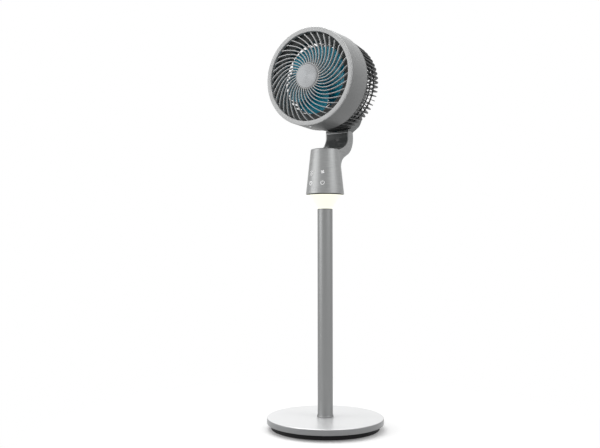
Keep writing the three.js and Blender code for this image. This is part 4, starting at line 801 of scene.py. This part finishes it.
def spine_outline(inset, steps=16):
    """Side outline of the spine as (y, z), from the arm's round end to the pod's back, moved in by inset."""
    r = END_R + 0.5 + inset
    slope_y, slope_z = math.sin(SPINE_SLOPE), -math.cos(SPINE_SLOPE)
    centre_y = POD_BACK - SPINE_BEND
    touch_y = centre_y + SPINE_BEND * slope_y
    touch_z = SPINE_FOOT_Z + (touch_y - SPINE_FOOT_Y) * math.tan(SPINE_SLOPE)
    centre_z = touch_z - SPINE_BEND * slope_z
    start = (SPINE_FOOT_Y - inset * slope_y, SPINE_FOOT_Z - inset * slope_z)
    under = math.atan2(start[1] - PIVOT_Z, start[0] - PIVOT_Y)
    front = math.acos((ARM_FACE_Y + inset - PIVOT_Y) / r)
    return [
        (ARM_FACE_Y + inset, HEAD_Z), *arc(PIVOT_Y, PIVOT_Z, r, front, under, steps), start,
        *arc(centre_y, centre_z, SPINE_BEND - inset, -math.pi / 2 + SPINE_SLOPE, 0, steps + 8),
        (POD_BACK - inset, HEAD_Z),
    ]


def spine_solid(inset, half):
    """The spine with the round dome behind the motor, moved in by inset."""
    r, rounding = DOME_R - inset, DOME_ROUND - inset / 2
    back = SPINE_BACKPLATE_Y - 10
    end = arc(r - rounding, POD_BACK - inset - rounding, rounding, 0, math.pi / 2, 12)
    dome_part = spun([(0, back), (r, back), *end, (0, POD_BACK - inset)], 128, "Y")
    return carved(plate_x(spine_outline(inset), half), (ADD, dome_part))


def grille_envelope(clear):
    """What the spine is cut to: drum, fins and pod flange as one solid, grown by clear."""
    bend = grille_outline(clear, 12)
    r0, y0 = bend[-1]
    reach = FIN_REAR_Y + clear - y0
    over = (r0 + (HUB_RING_R - r0) * 0.5, y0 + reach * 0.5875)
    flange = HUB_RING_R + 2
    back = SPINE_BACKPLATE_Y + clear - SPINE_CLEAR
    return spun([
        (0, -40), (FIN_FRONT_R + 3 + clear, -40), (FIN_FRONT_R + clear, SHROUD_REAR), *bend, over,
        (flange + clear, FIN_REAR_Y + clear), (flange + clear - SPINE_CLEAR, back), (0, back),
    ], 144, "Y")


def spine():
    passage = block(-PASSAGE_HALF, PASSAGE_HALF, PIVOT_Y - 4, SPINE_FOOT_Y - 0.6, ARM_TOP - 12, ARM_TOP + 8)
    shell = carved(
        spine_solid(0, ARM_HALF), (CUT, grille_envelope(SPINE_CLEAR)),
        (CUT, spine_solid(SPINE_WALL, ARM_HALF - SPINE_WALL)), (CUT, passage),
    )
    put("head_spine", shell, "head", "satin_paint", ["spine_shell"], SHARP_CARVED, "spine_paint")


# ---------------------------------------------------------------- head: shroud, grilles


def shroud():
    profile = [
        (SHROUD_FRONT_R - SHROUD_WALL, SHROUD_FRONT), (SHROUD_FRONT_R, SHROUD_FRONT),
        (SHROUD_REAR_R, SHROUD_REAR), (SHROUD_REAR_R - SHROUD_WALL, SHROUD_REAR),
    ]
    put("head_shroud", spun(eased(profile, 0.9), ROUND, "Y"), "head", "satin_paint", ["shroud"])
    front = SHROUD_FRONT + RING_SKIRT + GAP
    lip = SHROUD_FRONT_R - SHROUD_WALL - GAP
    throat = front + 6
    duct = [
        (DUCT_R, front), (lip, front), (lip, front + 3), (DUCT_R, front + 3),
        (THROAT_R + 2, throat + 2), (THROAT_R + 2, THROAT_Y), (THROAT_R, THROAT_Y), (THROAT_R, throat),
    ]
    put("duct_wall", spun(eased(duct, 0.5), ROUND, "Y"), "head", "dark_plastic", ["air_duct"])


def bulge(r):
    """How far the ribs stand forward of the ring at radius r."""
    share = min(1, max(0, (RING_IN_R - r) / (RING_IN_R - GRILLE_HUB_R)))
    drop = RIB_DROP * min(1, max(0, (r - RIB_SHOULDER_R) / (RING_IN_R - RIB_SHOULDER_R))) ** 2
    return FACE_BULGE * share * (2 - share) - drop


def rib_turn(t):
    """Angle of the swirl line at share t of the way out."""
    return RIB_SWEEP * (t - RIB_SWIRL * math.sin(TAU * t) / TAU)


def rib(phase):
    """One rib of the front grille: a bar with rounded front edges along the swirl line."""
    steps = 28
    low, high = GRILLE_HUB_R - 1, RING_IN_R + 1.5
    w, e = RIB_W / 2, 0.5
    half = [(w - e, 0), (w - e * 0.3, e * 0.3), (w, e), (w, RIB_DEPTH)]
    section = [(-s, d) for s, d in reversed(half)] + half
    rows = []
    for i in range(steps + 1):
        t = i / steps
        r, a = low + (high - low) * t, phase + rib_turn(t)
        r2, a2 = r + (high - low) * 1e-3, phase + rib_turn(t + 1e-3)
        x, z = r * math.cos(a), r * math.sin(a)
        along = Vector((r2 * math.cos(a2) - x, r2 * math.sin(a2) - z)).normalized()
        face = RING_FRONT + RIB_SETBACK - bulge(r)
        rows.append([(x - along.y * s, face + d, HEAD_Z + z + along.x * s) for s, d in section])
    return swept(rows)


def front_grille():
    front, outer = RING_FRONT, SHROUD_FRONT_R - 0.1
    skirt = SHROUD_FRONT_R - SHROUD_WALL - GAP
    seat = SHROUD_FRONT - GAP
    ring = [
        (RING_IN_R, front), (outer - 0.8, front), (outer, front + 0.8), (outer, seat), (skirt, seat),
        (skirt, SHROUD_FRONT + RING_SKIRT), (skirt - 2, SHROUD_FRONT + RING_SKIRT),
        (RING_IN_R, front + RIB_SETBACK + RIB_DEPTH + RIB_DROP),
    ]
    bm = spun(eased(ring, 0.8), ROUND, "Y")
    face = front + RIB_SETBACK - FACE_BULGE
    hub = [
        (0, face + BADGE_T), (BADGE_R + GAP, face + BADGE_T), (BADGE_R + GAP, face - 0.4),
        (GRILLE_HUB_R, face), (GRILLE_HUB_R, face + RIB_DEPTH), (0, face + RIB_DEPTH),
    ]
    joined(bm, spun(eased(hub, 0.4, 2), 144, "Y"))
    for i in range(RIB_COUNT):
        joined(bm, rib(RIB_PHASE + TAU * i / RIB_COUNT))
    put("swirl_grille", bm, "head", "ring_paint", ["front_grille"])
    seat = face + BADGE_T - GAP
    face = seat - BADGE_T
    turns = [math.pi / 2 * i / 16 for i in range(1, 16)]
    crown = [(BADGE_R * math.cos(a), face - BADGE_CROWN * math.sin(a)) for a in turns]
    edge = [(BADGE_R, seat), (BADGE_R, face + 0.4), (BADGE_R - 0.4, face)]
    badge = [(0, seat), *edge, *crown, (0, face - BADGE_CROWN)]
    put("hub_disc", spun(badge, 144, "Y"), "head", "badge_metal", ["hub_cap"])


def grille_outline(clear, steps):
    """The fins' outer bend from their straight side towards the hub, moved out by clear."""
    slope = math.atan2(FIN_FRONT_R - FIN_SHOULDER_R, FIN_SHOULDER_Y - SHROUD_REAR)
    normal = math.pi / 2 - slope
    cy = FIN_SHOULDER_Y - FIN_BEND * math.cos(normal)
    cr = FIN_SHOULDER_R - FIN_BEND * math.sin(normal)
    return [(r, y) for y, r in arc(cy, cr, FIN_BEND + clear, normal, normal - FIN_BEND_TURN, steps)]


def dome(bend, steps):
    """The fins' outline from the end of the bend to the hub ring."""
    r0, y0 = bend[-1]
    shares = [i / steps for i in range(1, steps + 1)]
    return [
        (r0 + (HUB_RING_R - r0) * t, y0 + (FIN_REAR_Y - y0) * (1.35 * t - 0.35 * t * t)) for t in shares
    ]


def fin_inside(y):
    """Radius of the fins' inner edge along their straight side."""
    share = (y - SHROUD_REAR) / (FIN_SHOULDER_Y - SHROUD_REAR)
    return FIN_FRONT_R + (FIN_SHOULDER_R - FIN_FRONT_R) * share - FIN_DEPTH


def rear_grille():
    bend = grille_outline(0, 12)
    start, root = SHROUD_REAR + 2, HUB_RING_R - 1
    outline = [
        (FIN_FRONT_R, start), *bend, *dome(bend, 6)[:-1], (root, FIN_REAR_Y),
        (root, FIN_REAR_Y - HUB_RING_T + 1), *reversed(grille_outline(-FIN_DEPTH, 10)),
        (FIN_FRONT_R - FIN_DEPTH, start),
    ]
    bm = bmesh.new()
    for i in range(FIN_COUNT):
        a = TAU * (i + 1) / FIN_COUNT
        c, s = math.cos(a), math.sin(a)
        half = FIN_T / 2
        joined(bm, plate(outline, -half, half, lambda r, y, w: (r * c - w * s, y, HEAD_Z + r * s + w * c)))
    bands = [(FIN_FRONT_R - FIN_DEPTH - 1, FIN_FRONT_R + 0.6, SHROUD_REAR + GAP, SHROUD_REAR + GAP + 3)]
    for y in HOOP_YS:
        bands.append((fin_inside(y) - HOOP_IN, fin_inside(y) + HOOP_OUT, y - HOOP_HALF, y + HOOP_HALF))
    bands.append((POD_R + GAP, HUB_RING_R, HUB_RING_Y, HUB_RING_Y + HUB_RING_T))
    for r0, r1, low, high in bands:
        joined(bm, spun(eased([(r0, low), (r1, low), (r1, high), (r0, high)], 0.5, 2), ROUND, "Y"))
    put("fin_cage", bm, "head", "grille_grey", ["rear_grille"])


def motor_pod():
    end = POD_FLANGE_Y + 2.5
    cup = [
        (BEARING_R + 3, 0), *arc(POD_R - POD_ROUND, POD_ROUND, POD_ROUND, -math.pi / 2, 0, 6),
        (POD_R, POD_FLANGE_Y), (HUB_RING_R, POD_FLANGE_Y), (HUB_RING_R, end),
        (POD_R - POD_WALL, end), (POD_R - POD_WALL, 3.4), (POD_R - 3.4, POD_WALL), (BEARING_R + 3, POD_WALL),
    ]
    put("motor_cup", spun(eased(cup, 0.4, 2), 128, "Y"), "head", "dark_plastic", ["motor_housing"])


# ---------------------------------------------------------------- impeller


def blade_point(u, v, side, turn):
    """A point on one face of a blade; u runs from root to tip, v from edge to edge as -1 to 1."""
    root = ROTOR_HUB_R - 1.4
    r = root + (BLADE_TIP_R - root) * u - BLADE_ROUND * v**4 * u
    angle = turn + BLADE_PHASE - BLADE_LEAN * u * u + BLADE_WIDTH / 2 * v * (1 - BLADE_TAPER * u)
    depth = (BLADE_REAR - BLADE_FRONT) / 2 - 2 - 5 * u
    y = (BLADE_REAR + BLADE_FRONT) / 2 + BLADE_SET * u - depth * v - BLADE_CUP * (1 - v * v)
    y += side * BLADE_T / 2 * (1 - BLADE_THIN * v * v)
    return r * math.cos(angle), y, HEAD_Z + r * math.sin(angle)


def blade(turn):
    n = BLADE_STEPS
    shares = [i / n for i in range(n + 1)]
    bm = bmesh.new()
    a, b = (
        [[bm.verts.new(blade_point(u, 2 * v - 1, side, turn)) for v in shares] for u in shares]
        for side in (-1, 1)
    )
    for i in range(n):
        for j in range(n):
            for g in (a, b):
                bm.faces.new([g[i][j], g[i][j + 1], g[i + 1][j + 1], g[i + 1][j]])
        for j in (0, n):
            bm.faces.new([a[i][j], a[i + 1][j], b[i + 1][j], b[i][j]])
            bm.faces.new([a[j][i], a[j][i + 1], b[j][i + 1], b[j][i]])
    return bm


def impeller():
    front, rear = BLADE_FRONT, BLADE_REAR + 2
    hub = [
        (SHAFT_HOLE_R, front), *arc(ROTOR_HUB_R - 5, front + 5, 5, -math.pi / 2, 0, 8), (ROTOR_HUB_R, rear),
        (ROTOR_HUB_R - ROTOR_WALL, rear), (ROTOR_HUB_R - ROTOR_WALL, front + 6.6),
        (ROTOR_HUB_R - 6, front + ROTOR_WALL), (ROTOR_SLEEVE_R, front + ROTOR_WALL),
        (ROTOR_SLEEVE_R, rear - 8), (SHAFT_HOLE_R, rear - 8),
    ]
    bm = spun(hub, 96, "Y")
    for i in range(BLADE_COUNT):
        joined(bm, blade(-TAU * i / BLADE_COUNT))
    put("fan_rotor", bm, "fan", "teal_plastic", ["impeller"], SHARP_BLADE)
    rear = BLADE_FRONT - GAP
    nut = [
        (0, rear - NUT_H), (NUT_R - 3, rear - NUT_H), (NUT_R, rear - NUT_H + 3), (NUT_R, rear),
        (SHAFT_HOLE_R, rear), (SHAFT_HOLE_R, rear - 5), (0, rear - 5),
    ]
    put("spin_nut", spun(eased(nut, 0.8), 64, "Y"), "fan", "teal_plastic", ["impeller_nut"])


# ---------------------------------------------------------------- CAD nodes that stay


def dress_nodes():
    """Materials by the record's slots, and smooth shading, for the nodes that show as they are."""
    slots = {s["node"]: s["material_slot"] for s in frame["record"]["subparts"]}
    for name, obj in frame["nodes"].items():
        if obj.hide_render:
            continue
        material = MAT[slots[name]]
        obj.data.materials.clear()
        obj.data.materials.append(material)
        custom = obj.data.attributes.get("custom_normal")
        if custom:
            obj.data.attributes.remove(custom)
        obj.data.shade_smooth()
        weld = obj.modifiers.new("weld", "WELD")
        weld.merge_threshold = 1e-6
        soft = obj.modifiers.new("smooth", "NODES")
        soft.node_group = smoothing()


def smoothing():
    """Geometry nodes that shade smooth and keep the edges past SHARP."""
    group = bpy.data.node_groups.get("smooth_by_angle")
    if group:
        return group
    group = bpy.data.node_groups.new("smooth_by_angle", "GeometryNodeTree")
    group.interface.new_socket("Geometry", in_out="INPUT", socket_type="NodeSocketGeometry")
    group.interface.new_socket("Geometry", in_out="OUTPUT", socket_type="NodeSocketGeometry")
    start, end = group.nodes.new("NodeGroupInput"), group.nodes.new("NodeGroupOutput")
    angle = group.nodes.new("GeometryNodeInputMeshEdgeAngle")
    sharp = group.nodes.new("FunctionNodeCompare")
    sharp.data_type = "FLOAT"
    sharp.operation = "GREATER_THAN"
    sharp.inputs[1].default_value = math.radians(SHARP)
    shade = group.nodes.new("GeometryNodeSetShadeSmooth")
    shade.domain = "EDGE"
    shade.inputs["Shade Smooth"].default_value = False
    group.links.new(angle.outputs[0], sharp.inputs[0])
    group.links.new(start.outputs[0], shade.inputs["Geometry"])
    group.links.new(sharp.outputs[0], shade.inputs["Selection"])
    group.links.new(shade.outputs[0], end.inputs[0])
    return group


# ---------------------------------------------------------------- stage, light, camera

# places are in metres
FLOOR_HALF = 8
WORLD_LIGHT = 0.22
FLOOR_NEAR = 0.16  # metres from the middle where the floor starts to fade to white, and where it ends
FLOOR_FAR = 0.75
VIEW_PLACE = (0.9643, -1.6702, 0.4333)
VIEW_HEADING = math.radians(31.87)
VIEW_RISE = math.radians(2.24)
VIEW_FOCUS = 768.6 / 600  # focal length as a share of the picture's width


def seen_directly(tree):
    """1 for camera, glossy and transmission rays, 0 for the rays that only carry light."""
    path = tree.nodes.new("ShaderNodeLightPath").outputs
    seen = path["Is Camera Ray"]
    for kind in ("Is Glossy Ray", "Is Transmission Ray"):
        seen = add_node(tree, "ShaderNodeMath", {0: seen, 1: path[kind]}, operation="MAXIMUM").outputs[0]
    return seen


def blended(tree, share, first, second):
    """Two shader nodes mixed; share 0 is all of the first."""
    shaders = {0: share, 1: first.outputs[0], 2: second.outputs[0]}
    return add_node(tree, "ShaderNodeMixShader", shaders)


def floor():
    """Pale floor that keeps the shadow near the object and runs out into the white background."""
    bm = bmesh.new()
    bmesh.ops.create_grid(bm, x_segments=8, y_segments=8, size=FLOOR_HALF)
    mesh = bpy.data.meshes.new("floor")
    bm.to_mesh(mesh)
    bm.free()
    obj = bpy.data.objects.new("floor", mesh)
    bpy.context.scene.collection.objects.link(obj)
    mat = bpy.data.materials.new("floor_white")
    mat.use_nodes = True
    tree = mat.node_tree
    bsdf = first_node(tree, "BSDF_PRINCIPLED")
    bsdf.inputs["Base Color"].default_value = (0.8, 0.8, 0.8, 1)
    bsdf.inputs["Roughness"].default_value = 0.9
    glow = add_node(tree, "ShaderNodeEmission", {"Strength": 0.2})
    lit = add_node(tree, "ShaderNodeAddShader", {0: bsdf.outputs[0], 1: glow.outputs[0]})
    coords = tree.nodes.new("ShaderNodeTexCoord").outputs["Object"]
    radius = add_node(tree, "ShaderNodeVectorMath", {0: coords}, operation="LENGTH").outputs["Value"]
    ends = {"Value": radius, "From Min": FLOOR_NEAR, "From Max": FLOOR_FAR}
    fade = add_node(tree, "ShaderNodeMapRange", ends, interpolation_type="SMOOTHSTEP")
    shown = blended(tree, fade.outputs[0], lit, tree.nodes.new("ShaderNodeEmission"))
    bounce = add_node(tree, "ShaderNodeBsdfDiffuse", {"Color": (0.25, 0.25, 0.25, 1)})
    mix = blended(tree, seen_directly(tree), bounce, shown)
    tree.links.new(mix.outputs[0], first_node(tree, "OUTPUT_MATERIAL").inputs[0])
    mesh.materials.append(mat)


def backdrop():
    """White world for the camera and in reflections, dimmer as a light."""
    world = bpy.data.worlds.new("studio")
    bpy.context.scene.world = world
    world.use_nodes = True
    tree = world.node_tree
    back = first_node(tree, "BACKGROUND")
    back.inputs["Color"].default_value = (1, 1, 1, 1)
    back.inputs["Strength"].default_value = WORLD_LIGHT
    white = add_node(tree, "ShaderNodeBackground", {"Color": (1, 1, 1, 1), "Strength": 1.0})
    mix = blended(tree, seen_directly(tree), back, white)
    tree.links.new(mix.outputs[0], first_node(tree, "OUTPUT_WORLD").inputs[0])


def lamp(name, place, target, size, watts):
    data = bpy.data.lights.new(name, "AREA")
    data.shape = "RECTANGLE"
    data.size, data.size_y = size
    data.energy = watts
    obj = bpy.data.objects.new(name, data)
    obj.location = place
    obj.rotation_mode = "QUATERNION"
    obj.rotation_quaternion = (Vector(target) - Vector(place)).to_track_quat("-Z", "Y")
    bpy.context.scene.collection.objects.link(obj)


def lights():
    lamp("top", (-0.5, 0.1, 2.7), (0, 0, 0.5), (2.2, 2.2), 58)
    lamp("upper", (1.7, 0.3, 2.5), (0, 0, HEAD_Z * MM), (1.2, 1.2), 13)
    lamp("left", (-1.85, -1.95, 1.4), (0, 0, 0.6), (2.4, 2.2), 34)
    lamp("right", (2.65, -0.3, 1.7), (0, 0, 0.6), (2.0, 1.8), 16)


def camera():
    data = bpy.data.cameras.new("view")
    data.sensor_width = 36
    data.lens = VIEW_FOCUS * data.sensor_width
    obj = bpy.data.objects.new("view", data)
    bpy.context.scene.collection.objects.link(obj)
    flat = math.cos(VIEW_RISE)
    forward = Vector((-math.sin(VIEW_HEADING) * flat, math.cos(VIEW_HEADING) * flat, math.sin(VIEW_RISE)))
    obj.location = VIEW_PLACE
    obj.rotation_mode = "QUATERNION"
    obj.rotation_quaternion = forward.to_track_quat("-Z", "Y")
    bpy.context.scene.camera = obj


foot()
pads()
light()
column()
symbols()
spine()
shroud()
front_grille()
rear_grille()
motor_pod()
impeller()
dress_nodes()
floor()
backdrop()
lights()
camera()
bpy.context.scene.view_settings.view_transform = "Standard"
